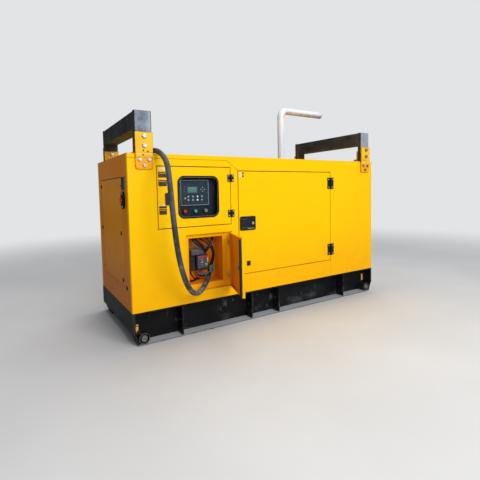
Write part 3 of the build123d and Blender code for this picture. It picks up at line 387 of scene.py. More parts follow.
def stack(rings):
    """A solid from rings of points, one over the other, with a face on each end."""
    count, sides = rings.shape[:2]
    quads = lattice(count, sides, wrap_columns=True)
    last = np.arange((count - 1) * sides, count * sides)
    return Shape(rings.reshape(-1, 3), quads, [np.arange(sides)[::-1], last])


def outline(width, height, corner, steps=3):
    """A rounded rectangle, with steps + 1 points round each corner."""
    corner = max(min(corner, width / 2, height / 2), 0.01)
    quarter = np.linspace(0, np.pi / 2, steps + 1)
    angle = (quarter + np.arange(4)[:, None] * np.pi / 2).ravel()
    x = np.repeat([1, -1, -1, 1], steps + 1) * (width / 2 - corner) + corner * np.cos(angle)
    y = np.repeat([1, 1, -1, -1], steps + 1) * (height / 2 - corner) + corner * np.sin(angle)
    return x, y


def loft(place, width, height, corner, section, steps=3):
    """That rectangle at each (inset, level) of the section."""
    rings = []
    for inset, lift in section:
        x, y = outline(width - 2 * inset, height - 2 * inset, corner - inset, steps)
        rings.append(place.points(x, y, lift))
    return np.array(rings)


def slab(place, width, height, depth, corner=1, bevel=0.5):
    """A plate that stands out by depth, its corners rounded and its rim bevelled."""
    return stack(loft(place, width, height, corner, [(0, 0), (0, depth - bevel), (bevel, depth)]))


def plate(x, z, depth, *size):
    """A slab on the control side."""
    return slab(front(x, z, depth), *size)


def rail(place, width, height, corner, section, steps=5):
    """A closed section carried round the rounded rectangle, as a seal or a frame is."""
    rings = loft(place, width, height, corner, section, steps)
    return Shape(rings.reshape(-1, 3), lattice(*rings.shape[:2], wrap_rows=True, wrap_columns=True))


def lathe(place, profile, sides=20):
    """A turned part: each (level, radius) of the profile carried round out."""
    lift, radius = np.array(profile, float).T[:, :, None]
    angle = np.arange(sides) * 2 * np.pi / sides
    return stack(place.points(radius * np.cos(angle), radius * np.sin(angle), lift))


def drum(place, radius, length):
    """A round can with softened rims."""
    return lathe(place, [(0, radius), (length - 6, radius), (length, radius - 6), (length, 0)], 24)


def bezier(points, steps):
    """The sum of each control point times its weight C(n, k) t^k (1 - t)^(n - k)."""
    points = np.asarray(points, float)
    n = len(points) - 1
    t = np.linspace(0, 1, steps)[:, None]
    k = np.arange(n + 1)
    ways = np.array([math.comb(n, i) for i in range(n + 1)])
    return (ways * t**k * (1 - t) ** (n - k)) @ points


def tube(points, radius, sides=8, steps=18, up=(0, 0, 1)):
    """A bar along a Bezier curve: path + radius * (cos a * side + sin a * over)."""
    path = bezier(points, steps)
    along = unit(np.gradient(path, axis=0))
    side = unit(np.cross(along, up))
    over = np.cross(side, along)
    angle = np.arange(sides)[:, None] * 2 * np.pi / sides
    circle = np.cos(angle) * side[:, None] + np.sin(angle) * over[:, None]
    return stack(path[:, None] + radius * circle)


# %% Piece
SMOOTH = math.radians(35)
MERGE = 2e-5


def piece(name, shape, finish, body="base"):
    """Puts a shape into the scene, closed, faced outwards and smooth up to 35 degrees."""
    mesh = bpy.data.meshes.new(name)
    faces = shape.quads.tolist() + [cap.tolist() for cap in shape.caps]
    mesh.from_pydata((shape.points / MM).tolist(), [], faces)
    made = bmesh.new()
    made.from_mesh(mesh)
    bmesh.ops.remove_doubles(made, verts=made.verts, dist=MERGE)
    bmesh.ops.recalc_face_normals(made, faces=made.faces)
    made.to_mesh(mesh)
    made.free()
    mesh.materials.append(LOOKS[finish])
    mesh.shade_smooth()
    mesh.set_sharp_from_angle(angle=SMOOTH)
    thing = bpy.data.objects.new(name, mesh)
    show(thing)
    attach(thing, body)
    return thing


def dress(finish, *names):
    """Gives CAD nodes a finish. Their meshes stay as they are."""
    for name in names:
        for holder in nodes[name].material_slots:
            holder.material = LOOKS[finish]


def bolt(place, across=24, head=10, washer=2.5, washer_radius=15):
    """A hexagon head on a round washer, its top edge chamfered."""
    corner = across / math.sqrt(3)
    ring = [(0, washer_radius), (washer * 0.8, washer_radius), (washer, washer_radius - 0.4)]
    top = washer + head
    hexagon = [(washer, corner), (top - 1.2, corner), (top, corner * 0.88)]
    return lathe(place, ring, 24) + lathe(place, hexagon, 6)


def screw(place, radius=5.5, head=3):
    """A low domed head with a socket sunk in it."""
    dome = [(0, radius), (head * 0.45, radius), (head * 0.8, radius * 0.8), (head, radius * 0.5)]
    socket = [(head, radius * 0.42), (head * 0.4, radius * 0.38), (head * 0.35, 0)]
    return lathe(place, dome + socket, 14)


# %% [markdown]
# ## Canopy paint
#
# Powder coat on folded steel is an even, deep yellow with a faint orange peel. What makes it look
# real is small: the tone drifts over a metre, dust films the lower half, thin runs of dirt hang
# under the top edges, and the Bevel node rounds the folded edges for the light alone.
# Some of the colour is painted shade: the yellow deepens towards the bottom, the left end and its corner strip are
# deeper orange copies of it, and the pan of the terminal door and the box behind its mouth turn orange.

# %% Canopy paint
# The second yellow is deeper: the paint drifts towards it with noise, and towards the bottom it is painted shade.
YELLOW = ((255, 200, 0), (255, 182, 0))


def canopy_paint(name, bright, deep, film=0.1, rough=0.3, seams=None, shine=0.07, inside=None):
    """Yellow powder coat with dust low down, hanging dirt, chips and dark seams, deeper low down and orange within
    the inside mask as painted shade.
    """
    b = board(name)
    _, _, z = b.axes()
    drift = b.patch(0.35, 0.7, 1.7, 3)
    low = b.ramp(z, 0.75, 0.2)
    runs = b.patch(0.62, 0.8, 7, 3, stretch=(5, 5, 0.35))
    film_mask = film * b.patch(0.45, 0.75, 9, 5, shift=3)
    specks = b.patch(0.72, 0.8, 240, 1, shift=5)
    nicks = b.ramp(b.edge(0.003) * b.patch(0.45, 0.7, 60, 4), 0.03, 0.12)
    # Towards the bottom the tone deepens as painted shade; the film and the runs over it are dust and dirt.
    tone = b.coats(
        b.mix(0.2 * drift + 0.7 * low, bright, deep),
        (0.22 * runs * low + film_mask * (0.3 + 0.7 * low), (168, 120, 38)),
        (0.35 * specks, (150, 104, 30)),
        (0.8 * nicks, (96, 62, 34)),
    )
    # Painted shade: within the inside mask the yellow turns orange.
    if inside:
        tone = b.mix(inside(b), tone, (250, 146, 14))
    if seams:
        tone = b.mix(0.85 * seams(b), tone, (52, 28, 8))
    peel = b.bump(b.noise(420, 1), 0.00012, b.soft(0.002))
    waves = b.bump(b.noise(3.2, 1, shift=8), 0.004, peel)
    dull = rough + 0.14 * film_mask + 0.25 * nicks + 0.1 * b.noise(14, 3)
    b.finish(tone, dull, waves, Coat_Weight=0.03, Coat_Roughness=0.1, shine=shine)


def panel_seams(b):
    """Lines round the panel of the left end; the upright ones run on to the roof."""
    _, y, z = b.axes()
    off = abs(y - 0.0125)
    upright = b.ramp(abs(off - 0.3075), 0.0034, 0.0012) * b.ramp(z, 0.35, 0.356)
    over = b.ramp(abs(z - 1.071), 0.004, 0.0022)
    under = b.ramp(abs(z - 0.355), 0.002, 0.001)
    return (0.45 * upright) | ((over | (0.8 * under)) * b.ramp(off, 0.3095, 0.3085))


def sheet_seams(b):
    """Lines where the folded roof sheet and the sill meet the panels."""
    x, y, z = b.axes()
    along, up = x - (LEFT + 699) / MM, z - (DECK + 970) / MM
    level = b.ramp(abs(up), 0.0024, 0.0012) * b.ramp(along, 0.0005, -0.0005)
    mitre = b.ramp(abs(0.617 * along + 0.787 * up), 0.0026, 0.0013)
    mitre = mitre * b.ramp(abs(along - 0.044), 0.0445, 0.0435)
    upright = b.ramp(abs(along - 0.088), 0.0026, 0.0013) * b.ramp(up, -0.0685, -0.0695)
    sill = b.ramp(abs(abs(x - 0.1245) - 0.4675), 0.0024, 0.001) * b.ramp(z, 0.354, 0.352)
    return (0.65 * (level | mitre | upright) | (0.4 * sill)) * b.ramp(abs(y), 0.443, 0.4445)


def door_inside(b):
    """Painted shade on the terminal door: 1 within its pan, where the yellow turns orange."""
    x, y, z = b.axes()
    x, y = x + 0.4035, y + 0.452
    along = -0.2924 * x - 0.9563 * y
    within = b.ramp(along, 0.3475, 0.3468) * b.ramp(along, 0.0045, 0.0052)
    within = within * b.ramp(abs(z - 0.483), 0.1892, 0.1885)
    return b.ramp(-0.9563 * x + 0.2924 * y, 0.0085, 0.0092) * within


def box_inside(b):
    """Painted shade in the terminal box: 1 behind the mouth plate, a little on the plate itself."""
    _, y, _ = b.axes()
    return 0.35 + 0.65 * b.ramp(y, -0.421, -0.419)


canopy_paint("canopy_yellow", *YELLOW, seams=sheet_seams)
# The left end and its corner strip are deeper orange copies of the yellow: painted shade.
canopy_paint("end_yellow", (238, 154, 0), (204, 112, 0), 0.2, 0.26, panel_seams, 0.05)
canopy_paint("corner_yellow", (232, 140, 0), (206, 110, 0), 0.15, 0.26, panel_seams, 0.05)
canopy_paint("door_yellow", *YELLOW, inside=door_inside)
canopy_paint("box_yellow", *YELLOW, inside=box_inside)
for side in ("front_", "rear_"):
    dress("canopy_yellow", side + "panel", side + "shell", side + "sill", side + "door")
dress("canopy_yellow", "control_door", "roof", "intake_louvres", "end_grille", "end_frame_right")
dress("door_yellow", "terminal_door")
dress("box_yellow", "terminal_box")
dress("end_yellow", "end_panel_left")
dress("corner_yellow", "end_frame_left")
print("canopy painted")

# %% [markdown]
# ## Straps and cleats
#
# The straps are thick plate, cut, bent and brushed with the same yellow. Paint cracks along the joggle and the cut
# edges rust first, so the wear mask is the edge mask plus a band at the height of the bend, broken up by noise. A
# painted highlight runs along the bend with a painted shadow line above it, and three open holes are painted dark
# as shade.

# %% Strap paint
b = board("strap_yellow")
x, y, z = b.axes()
outside = b.ramp(abs(y), 0.44, 0.45)
# Painted light at the bend: a dark shadow line above it and a pale highlight band along it.
shade_line = b.ramp(abs(z - 1.2185), 0.003, 0.0012) * outside
joggle = b.ramp(abs(z - 1.196), 0.016, 0.006) * b.patch(0.5, 0.7, 90, 5)
rubbed = b.ramp(abs(z - 1.2035), 0.0125, 0.0095) * outside
rim = b.ramp(b.edge(0.007) * (0.35 + b.noise(45, 4)), 0.03, 0.13)
blots = b.patch(0.66, 0.74, 26, 5, shift=2)
worn = b.ramp(rim + 0.5 * joggle + 0.8 * blots, 0.25, 0.8)
drift = b.ramp(b.noise(14, 3) + b.ramp(z, 1.21, 1.15), 0.3, 0.9)
# Three open holes on each strap, painted dark as shade.
holes = 0.0
for side, height in ((-0.022, 1.225), (0.006, 1.229), (0.009, 1.203)):
    holes = b.ramp(b.length(abs(x) - 1.025 - side, 0, z - height), 0.0068, 0.0054) | holes
tone = b.coats(
    b.mix(drift, (255, 196, 2), (248, 166, 0)),
    (0.6 * rubbed, (252, 208, 88)),
    (0.5 * shade_line, (150, 92, 20)),
    (0.85 * worn, b.mix(b.patch(0.35, 0.65, 120, 3), (112, 66, 30), (70, 44, 26))),
    (0.8 * holes * outside, (66, 44, 22)),
)
relief = b.bump(1 - worn, 0.0004, b.bump(b.noise(130, 3), 0.0003, b.soft(0.0015)))
b.finish(tone, 0.42 + 0.34 * worn, relief, shine=0.22)
dress("strap_yellow", "hanger_straps", "hanger_cleats")

# %% [markdown]
# ## Bare hanger tube
#
# Square tube from the mill has a blue-grey skin of scale, lighter where it was rubbed along its
# length. Welding burns it brown beside each seam, at the foot of a post and where the crossbeam
# meets it. Those bands are distances to the seams, worked out from the coordinates.
# Two marks are painted light: the right frame is lighter, and every face but the outer front and back ones is
# darker, as shade.

# %% Mill scale
b = board("mill_scale")
x, y, z = b.axes()
mottle = b.patch(0.34, 0.68, 11, 6, rough=0.62)
drawn = b.patch(0.45, 0.72, 30, 4, stretch=(1, 1, 0.12), shift=4)
seam = b.ramp(abs(abs(y) - 0.413), 0.05, 0.004) * b.ramp(z, 1.34, 1.37)
burn = (seam | b.ramp(z, 1.255, 1.222)) * b.patch(0.3, 0.62, 22, 4, shift=6)
flakes = b.patch(0.6, 0.68, 70, 5, shift=9)
tone = b.coats(
    b.mix(mottle, (92, 106, 120), (140, 152, 166)),
    (0.35 * drawn, (164, 172, 182)),
    # Painted light: the right frame lighter.
    (0.6 * b.ramp(x, 0.9, 1), (176, 180, 190)),
    # Painted shade: every face but the outer front and back ones darker.
    (b.ramp(abs(y), 0.4522, 0.4508), b.mix(mottle, (38, 40, 43), (66, 67, 68))),
    (0.6 * burn, (96, 68, 46)),
    (0.6 * flakes, (58, 56, 56)),
    (0.4 * b.ramp(b.edge(0.004), 0.05, 0.2), (160, 164, 168)),
)
relief = b.bump(mottle + 0.5 * flakes, 0.0005, b.soft(0.003))
b.finish(tone, 0.62 - 0.2 * drawn, relief, metallic=0.15)
dress("mill_scale", "hanger_frame_left", "hanger_frame_right")

# %% [markdown]
# ## Skid, tank and deck
#
# The skid is satin black. Dust settles on what faces up, most of all on the bottom flange, and
# water leaves pale smears low on the web. The end plates are cleaner and a little lighter.

# %% Skid paint
def skid_paint(name, black, dusty):
    """Satin black with settled dust, pale smears low on the web and scuffs above."""
    b = board(name)
    x, y, z = b.axes()
    smear = b.patch(0.5, 0.72, 5, 5, stretch=(1, 1, 2.6), shift=1)
    smear = smear * b.ramp(z, 0.15, 0.03) * b.ramp(abs(x), 1, 0.7)
    marks = b.patch(0.6, 0.66, 26, 5, stretch=(1, 1, 0.5), shift=7, rough=0.65)
    marks = marks * b.patch(0.42, 0.58, 3.6, 1, shift=5) * b.ramp(z, 0.185, 0.15)
    grime = b.upward() * b.patch(0.05, 0.4, 18, 5, shift=2) * dusty
    rim = b.ramp(b.edge(0.004) * b.patch(0.4, 0.65, 50, 4), 0.03, 0.12)
    foot = b.ramp(z, 0.0125, 0.0105) * b.ramp(abs(y), 0.436, 0.44)
    tone = b.coats(
        b.mix(b.patch(0.35, 0.7, 6, 4), black, (24, 25, 28)),
        (0.2 * smear + 0.36 * marks, (134, 136, 138)),
        (grime * (0.35 + 0.65 * b.ramp(z, 0.06, 0.01)), (184, 186, 188)),
        (0.5 * rim, (132, 126, 118)),
        (0.75 * foot * b.patch(0.2, 0.5, 30, 4), (140, 144, 148)),
    )
    relief = b.bump(b.noise(160, 3), 0.0002, b.soft(0.002))
    b.finish(tone, 0.45 + 0.35 * grime + 0.15 * smear, relief, shine=0.2)


skid_paint("skid_black", (14, 15, 17), 1)
skid_paint("end_black", (40, 42, 43), 0.7)
dress("skid_black", "skid_beam_front", "skid_beam_rear", "skid_crossmembers", "fuel_tank", "deck")
dress("end_black", "skid_end_plates")

# %% Lifting bars
b = board("lifting_bar")
x, _, z = b.axes()
bar = b.ramp(b.length(abs(x) - 1.06, 0, z - 0.044), 0.0225, 0.0205)
# Rubbed wear on the bar end and on the ring's edges.
rubbed = b.patch(0.35, 0.65, 55, 5)
rim = b.ramp(b.edge(0.006), 0.03, 0.12) * (0.5 + 0.5 * rubbed)
tone = b.mix(bar, b.mix(rim, (24, 25, 27), (140, 146, 152)), b.mix(rubbed, (96, 92, 82), (126, 122, 110)))
b.finish(tone, 0.5, b.bump(b.noise(90, 4), 0.0004, b.soft(0.002)), metallic=0.15)
dress("lifting_bar", "lifting_bars")

# %% [markdown]
# ## Bright zinc, white heat paint, and what is moulded
#
# Most small finishes share one recipe: two tones with noise between them, a little relief, and
# edges rounded for the light. They are made slot by slot, a slot being the kind of surface. A row
# gives the dark and the light tone, then the grain in lumps to the metre, the relief in metres, the
# roughness and what else it needs.

# %% Small finishes
def grained(name, dark, light, grain=400, relief=2e-5, rough=0.3, round_edge=0.0008, **fixed):
    """Two tones in patches a few grains wide, with relief at the grain's own scale and a painted highlight on the
    edges.
    """
    b = board(name)
    patches = b.noise(grain * 0.12, 4)
    # Painted highlight: edges are laid a little towards the light tone.
    rim = b.ramp(b.edge(round_edge * 1.5), 0.04, 0.2)
    tone = b.mix(0.3 * rim, b.mix(b.ramp(patches, 0.3, 0.7), dark, light), light)
    height = b.bump(b.noise(grain, 2, shift=3), relief, b.soft(round_edge))
    b.finish(tone, rough + 0.12 * (patches - 0.5), height, **fixed)


def small_finishes(slot, **rows):
    """Makes the finish of each row. The slot is not used."""
    for name, row in rows.items():
        fixed = row[-1] if isinstance(row[-1], dict) else {}
        grained(name, *row[:len(row) - bool(fixed)], **fixed)


SHEATH = (300, 4e-5, 0.34, 0.0004)
small_finishes(
    "zinc_steel",
    zinc=((168, 170, 174), (212, 214, 217), 300, 8e-5, 0.36, dict(metallic=0.6)),
    bolt_dull=((92, 84, 74), (160, 156, 150), 300, 1e-4, 0.45, dict(metallic=0.4)),
)
small_finishes(
    "bare_steel",
    aluminised=((128, 124, 116), (166, 162, 152), 160, 2e-4, 0.5, dict(metallic=0.4)),
)
small_finishes(
    "engine_grey",
    enamel=((52, 58, 62), (74, 81, 85), 90, 3e-4, 0.45),
    alloy=((132, 136, 138), (172, 175, 176), 200, 2e-4, 0.42, dict(metallic=0.5)),
)
small_finishes(
    "fitting_black",
    lock_black=((15, 17, 22), (30, 33, 40), 900, 1e-5, 0.36),
    hinge_black=((14, 15, 17), (32, 33, 36), 500, 8e-5, 0.4, dict(shine=0.35)),
    stop_black=((7, 8, 9), (15, 16, 18), 900, 1e-5, 0.45, dict(shine=0.2)),
    film_dark=((52, 36, 22), (78, 52, 26)),
    film_black=((18, 18, 20), (30, 30, 32), 400, 2e-5, 0.35),
    paddle_edge=((70, 76, 90), (96, 102, 114), 600, 1e-5, 0.4),
    block_dark=((36, 34, 34), (60, 54, 50), 500, 6e-5, 0.45),
)
small_finishes(
    "seal_rubber",
    rubber=((15, 16, 17), (30, 31, 32), 700, 1e-4, 0.62),
    seal_black=((8, 9, 10), (16, 17, 18), 700, 1e-5, 0.5, dict(shine=0.25)),
    plug_rubber=((17, 18, 19), (36, 37, 38), 800, 1e-4, 0.5),
    bead_line=((70, 76, 82), (112, 118, 124), 600, 5e-5, 0.4),
    foam_black=((20, 21, 22), (40, 41, 43), 900, 4e-4, 0.9, dict(shine=0.15)),
)
small_finishes(
    "controller_plastic",
    case_dark=((30, 44, 60), (44, 62, 80), 1100, 6e-6, 0.42, dict(shine=0.25)),
    fascia=((18, 24, 32), (34, 43, 52), 700, 8e-6, 0.5, dict(shine=0.25)),
    slate=((30, 40, 56), (44, 56, 76), 260, 8e-5, 0.42, dict(shine=0.3)),
    slate_rim=((142, 150, 152), (176, 182, 180), 260, 8e-5, 0.4),
    case_edge=((120, 138, 158), (152, 168, 186), 900, 4e-5, 0.4),
    key_rose=((188, 158, 154), (212, 184, 178), 900),
    key_grey=((138, 158, 162), (160, 180, 182), 900),
    key_white=((220, 234, 238), (236, 246, 248), 900),
    key_cyan=((78, 190, 178), (108, 214, 204), 900),
    key_pink=((196, 96, 112), (216, 126, 140), 900),
    cap_green=((26, 180, 150), (60, 214, 186), 500),
    lamp_green=((104, 176, 150), (150, 212, 184), 400, 2e-5, 0.25),
)
small_finishes(
    "button_red",
    stop_red=((186, 18, 22), (218, 34, 34), 500, 3e-5, 0.25),
    cap_red=((206, 24, 38), (232, 48, 60), 500),
    rose=((168, 52, 82), (196, 80, 106)),
)
small_finishes(
    "breaker_grey",
    block_grey=((60, 70, 84), (84, 94, 108), 500, 6e-5, 0.4),
    block_pale=((104, 118, 134), (136, 148, 162), 500, 6e-5, 0.4),
    strip_teal=((74, 124, 128), (110, 158, 160), 400, 4e-5, 0.4),
)
small_finishes(
    "white_paint",
    film_pale=((222, 186, 96), (240, 214, 150)),
    film_white=((232, 230, 222), (246, 245, 240), 400, 2e-5, 0.35),
    film_cream=((240, 206, 128), (252, 224, 158), 400, 2e-5, 0.35),
    film_rose=((176, 148, 132), (206, 182, 166), 400, 2e-5, 0.35),
)
small_finishes(
    "canopy_yellow",
    film_amber=((222, 150, 30), (238, 170, 44)),
    film_beige=((240, 172, 78), (252, 200, 112), 400, 2e-5, 0.35),
)
small_finishes(
    "cable_rubber",
    wire_black=((16, 16, 18), (34, 34, 37), *SHEATH),
    wire_red=((170, 30, 24), (204, 48, 36), *SHEATH),
    wire_blue=((34, 78, 142), (58, 112, 178), *SHEATH),
    wire_green=((44, 120, 56), (88, 158, 70), *SHEATH),
    wire_lime=((150, 170, 40), (178, 192, 62), *SHEATH),
)
for door in ("front_door", "rear_door", "control_door"):
    dress("lock_black", door + "_lock")
    dress("hinge_black", door + "_hinges")
dress("lock_black", "control_switches", "cable_connector", "terminal_strip")
dress("hinge_black", "terminal_door_hinges", "hinge_bases", "air_cleaner")
dress("seal_black", "control_door_seal", "terminal_door_seal")
dress("enamel", "engine_and_alternator", "radiator")
for name, finish in dict(
    terminal_door_latch="zinc", stop_box="stop_black", stop_button="stop_red", cable_boot="rubber",
    controller="case_dark", control_housing="fascia", silencer="aluminised", breaker="block_dark",
).items():
    dress(finish, name)

# %% Heat-proof white
b = board("heat_white")
x, _, z = b.axes()
patches = b.patch(0.3, 0.7, 22, 4)
# Under the level run: a brown painted reflection of the floor, darkening to painted shade towards the outlet.
below = b.ramp(b.along(b.flat(), "Z"), 0.05, -0.6) * b.ramp(z, 1.6, 1.66)
# Painted shade: the side of the pipe facing left and back is darker.
streak = b.ramp(b.vector("DOT_PRODUCT", b.flat(), (-0.782, 0.623, 0)), 0.8, 0.95)
soot = b.ramp(x, 0.84, 0.908) * b.patch(0.25, 0.6, 45, 4, shift=1)
welds = b.ramp(abs(x - 0.4751), 0.0026, 0.0012) * b.ramp(z, 1.66, 1.668)
welds = b.ramp(abs(z - 1.6409), 0.0026, 0.0012) | welds
tone = b.coats(
    b.mix(0.4 * patches, (234, 238, 244), (242, 246, 252)),
    # Painted: bluer towards the roof, against the yellow light that the roof throws on the pipe.
    (b.ramp(z, 1.62, 1.4), (214, 226, 250)),
    (0.8 * below * (0.6 + 0.4 * patches), b.mix(b.ramp(x, 0.45, 0.88), (160, 112, 66), (92, 68, 52))),
    (0.6 * streak, (96, 98, 104)),
    (0.35 * soot, (110, 104, 98)),
    (0.3 * welds, (150, 150, 152)),
)
relief = b.bump(welds, 0.001, b.bump(b.noise(160, 2), 0.0001, b.soft(0.001)))
b.finish(tone, 0.38 + 0.2 * soot, relief)
dress("heat_white", "exhaust_pipe", "exhaust_collar")

# %% Window pane
b = board("window_clear")
grazing = b.node("LayerWeight", {"Blend": 0.35}, "Facing")
smudge = b.patch(0.45, 0.75, 16, 4)
b.finish(srgb(30, 36, 44), 0.02, None, Alpha=0.02 + 0.06 * grazing + 0.03 * smudge)
dress("window_clear", "control_door_pane")

# %% [markdown]
# ## Bolts and screws
#
# Ten hexagon bolts hold each pair of straps, eight more the cleats, and domed socket screws hold the
# hinge leaves and the stop box. Each bolt is turned a little differently, as a fitter leaves it, and
# a leaf's screws ride on the body that the leaf belongs to.

# %% Strap and cleat bolts
LOWER = ((-26.5, 960), (31, 960), (1, 924.5))
UPPER = ((2, 1103), (2, 1044.5))
# The right frame's bolts use a darker copy of the zinc: painted shade.
for side, post, finish in (("left", 105, "zinc"), ("right", 2155, "bolt_dull")):
    bolts = [
        bolt(spot(post + dx, z, -10).at(0, 0, turn=17 * n + 0.04 * post), 20, 8, 2.2, 12.2)
        for spot in (front, rear) for n, (dx, z) in enumerate(LOWER)
    ]
    bolts += [
        bolt(spot(post + dx, z, -18).at(0, 0, turn=23 * n + 0.07 * post), 25, 11, 2.8, 15.5)
        for spot in (front, rear) for n, (dx, z) in enumerate(UPPER)
    ]
    for way in (-1, 1):
        for z, dx in ((1288, -28), (1246, 28)):
            inner = Place((LEFT + post + 4, way * 403, z), across=(way, 0, 0))
            bolts.append(bolt(inner.at(0, 0, turn=25 + 0.9 * dx)))
            bolts.append(bolt(upright(LEFT + post + dx, way * 368, 1225)))
    piece("hanger_bolts_" + side, join(bolts), finish)
    print(len(bolts), "hexagon bolts,", side)

# %% Hinge screws
def leaf_screws(spot, x, middles, dx, dz, radius=5.5):
    """Two screws one over the other in each leaf, dx to the side of the pin at x."""
    return join(screw(spot(x + dx, z + up, -5), radius) for z in middles for up in (-dz, dz))


DOOR = 1719.5, (234, 804)
CONTROL = 725.5, (595, 846)
TERMINAL = 726.5, (151, 385)
OPEN_DOOR = Place((-403.5, -452, DECK), across=(-0.2924, -0.9563, 0))
DOOR_OUTSIDE = Place((-403.5, -452, DECK), across=(0.2924, 0.9563, 0))
for name, spot in (("front_door", front), ("rear_door", rear)):
    piece(name + "_screws", leaf_screws(spot, *DOOR, -21.5, 33), "zinc", name)
piece("control_door_screws", leaf_screws(front, *CONTROL, -16, 16), "zinc", "control_door")
fixed = [leaf_screws(spot, *DOOR, 21.5, 33) for spot in (front, rear)]
fixed.append(leaf_screws(front, *CONTROL, 16, 16))
fixed.append(leaf_screws(front, *TERMINAL, 16.5, 14, 4.2))
heights = [z + up for z in TERMINAL[1] for up in (-14, 14)]
spots = [(528, 455), (381, 416), (531, 93)] + [(708, z) for z in heights]
fixed += [screw(front(x, z, 22)) for x, z in spots]
fixed += [screw(end(107, z, -10), 7.5, 4.5) for z in (669, 751)]
piece("fixed_screws", join(fixed), "zinc")
swung = []
for z in heights:
    swung.append(screw(DOOR_OUTSIDE.at(-16.5, z, -2), 4.2))
    swung.append(screw(OPEN_DOOR.at(40, z, 9.5), 5.5, 5))
for x, z, out, *size in (
    (296, 288, 9.5, 26, 12, 6), (286, 286, 15.5, 34, 8, 3), (292, 296, 12.5, 10, 40, 5), (290, 310, 15.5, 38, 9, 4),
):
    swung.append(slab(OPEN_DOOR.at(x, z, out), *size, 2, 1))
piece("terminal_door_screws", join(swung), "zinc", "terminal_door")

# %% Gaskets
bulb = slab(OPEN_DOOR.at(340.5, 268, 24), 14, 368, 16.5, 3, 4)
piece("terminal_door_bulb", bulb, "rubber", "terminal_door")

# %% [markdown]
# ## Plugs, plates and blank labels
#
# Rubber plugs close the assembly holes in the left end. The real plates and stickers carry words, so
# here they are blank: thin slabs with a plain border, placed where the real ones are.

# %% Plugs and plates
PLUG = [(0, 15), (1.8, 14.8), (3.4, 12), (3.6, 9), (2.2, 8), (2.2, 0)]
BUTTON = [(0, 6.5), (2, 6), (3, 3), (3, 0)]
holes = ((774, 807), (787, 489), (200, 490), (194.5, 178), (107, 141))
plugs = [lathe(end(*hole), PLUG) for hole in holes]
plugs += [lathe(end(y, z), BUTTON, 12) for y, z in ((761, 190), (173, 802))]
piece("end_plugs", join(plugs), "plug_rubber")
piece("end_plate", slab(end(105, 815.5), 92, 81, 2.5, 4, 0.8), "slate")
# The lighter strip along one edge of the plate is a painted highlight.
piece("end_plate_trim", slab(end(64, 815.5, -2.5), 8, 77, 1.2, 2), "slate_rim")


def label(x0, x1, z0, z1, lift=0):
    """A sticker 0.4 mm thick between those sides, on top of lift."""
    return plate((x0 + x1) / 2, (z0 + z1) / 2, -lift, x1 - x0, z1 - z0, 0.4, 2, 0.1)


DARK = ((193, 251, 849, 886), (193.5, 249, 793.5, 834), (194, 244, 611, 649))
BARS = [(x0 + 4, x1 - 4, z1 - 11, z1 - 7, 0.4) for x0, x1, _, z1 in DARK]
LABELS = (
    ("door_labels_pale", "film_pale", "control_door", ((194, 254, 897, 914), (193, 245, 667, 679))),
    ("door_labels_dark", "film_dark", "control_door", (*DARK, (193, 245, 652, 665))),
    ("door_label_bars", "film_amber", "control_door", BARS),
    ("bay_door_plate", "film_cream", "front_door", ((796.5, 823.5, 852.5, 870), (796.5, 823.5, 873, 890.5))),
    ("bay_door_plate_end", "film_black", "front_door", ((825, 838.5, 853.5, 868), (825, 838.5, 874, 888.5))),
)
for name, finish, body, spots in LABELS:
    piece(name, join(label(*spot) for spot in spots), finish, body)
bumper = plate(868, 216.5, 0, 30, 35, 6, 3, 1)
bumper += join(plate(x, 216.5, -6, 4.5, 29, 2) for x in (859, 868, 877))
piece("bay_door_bumper", bumper, "plug_rubber", "front_door")
web = plate(41.5, -138, 85, 28, 46, 0.5, 2, 0.1)
web += plate(2228, -100, 85, 22, 62, 0.5, 2, 0.1)
piece("skid_labels", web, "film_beige")
piece("skid_label_head", plate(41.5, -105, 85, 28, 13, 0.5, 2, 0.1), "film_rose")

# %% [markdown]
# ## The controller and its switches
#
# Behind the window sit a grey-green display, nine round keys, an arrow pad and three switches. The CAD has the
# case, its well and the key caps. What is added is what is seen: the display glass, a coloured face on each cap, a
# light line round the case, which is a painted highlight, and domed switch caps in their rings.

# %% Lock faces
for door, spot in (("front_door", front), ("rear_door", rear)):
    key = lathe(spot(907, 515, -11), [(0, 11.2), (1, 10.8), (1.4, 9), (1.4, 0)], 22)
    key += lathe(spot(907, 515, -12.4), [(0, 6.2), (2.2, 5.8), (2.4, 4), (1.2, 0)], 18)
    piece(door + "_key", key, "zinc", door)
    # A painted highlight along the lower lip of the lock's well.
    lips = slab(spot(893, 477, -6), 60, 4.2, 1.6, 1, 0.6)
    piece(door + "_lock_lip", lips, "slate_rim", door)
    # Painted highlights along the top and bottom edges of the paddle.
    edges = slab(spot(837, 482.5, -7), 56, 4, 1.2)
    edges += slab(spot(833, 546.5, -7), 46, 3.4, 1.2)
    piece(door + "_paddle_edges", edges, "paddle_edge", door)

# %% Display and keys
b = board("display")
_, _, z = b.axes()
# Painted reflection: the glass is lighter towards the top.
tone = b.mix(b.ramp(z, 0.955, 1.02), (74, 122, 116), (100, 144, 138))
ghost = b.patch(0.4, 0.7, 120, 2)
b.finish(b.mix(0.25 * ghost, tone, (64, 112, 104)), 0.18, None, Coat_Weight=0.2)
piece("display", plate(448, 768, 44, 71, 39, 1.4, 2), "display")
section = [(0, 0), (3.4, 0), (3.4, 0.6), (0, 0.8)]
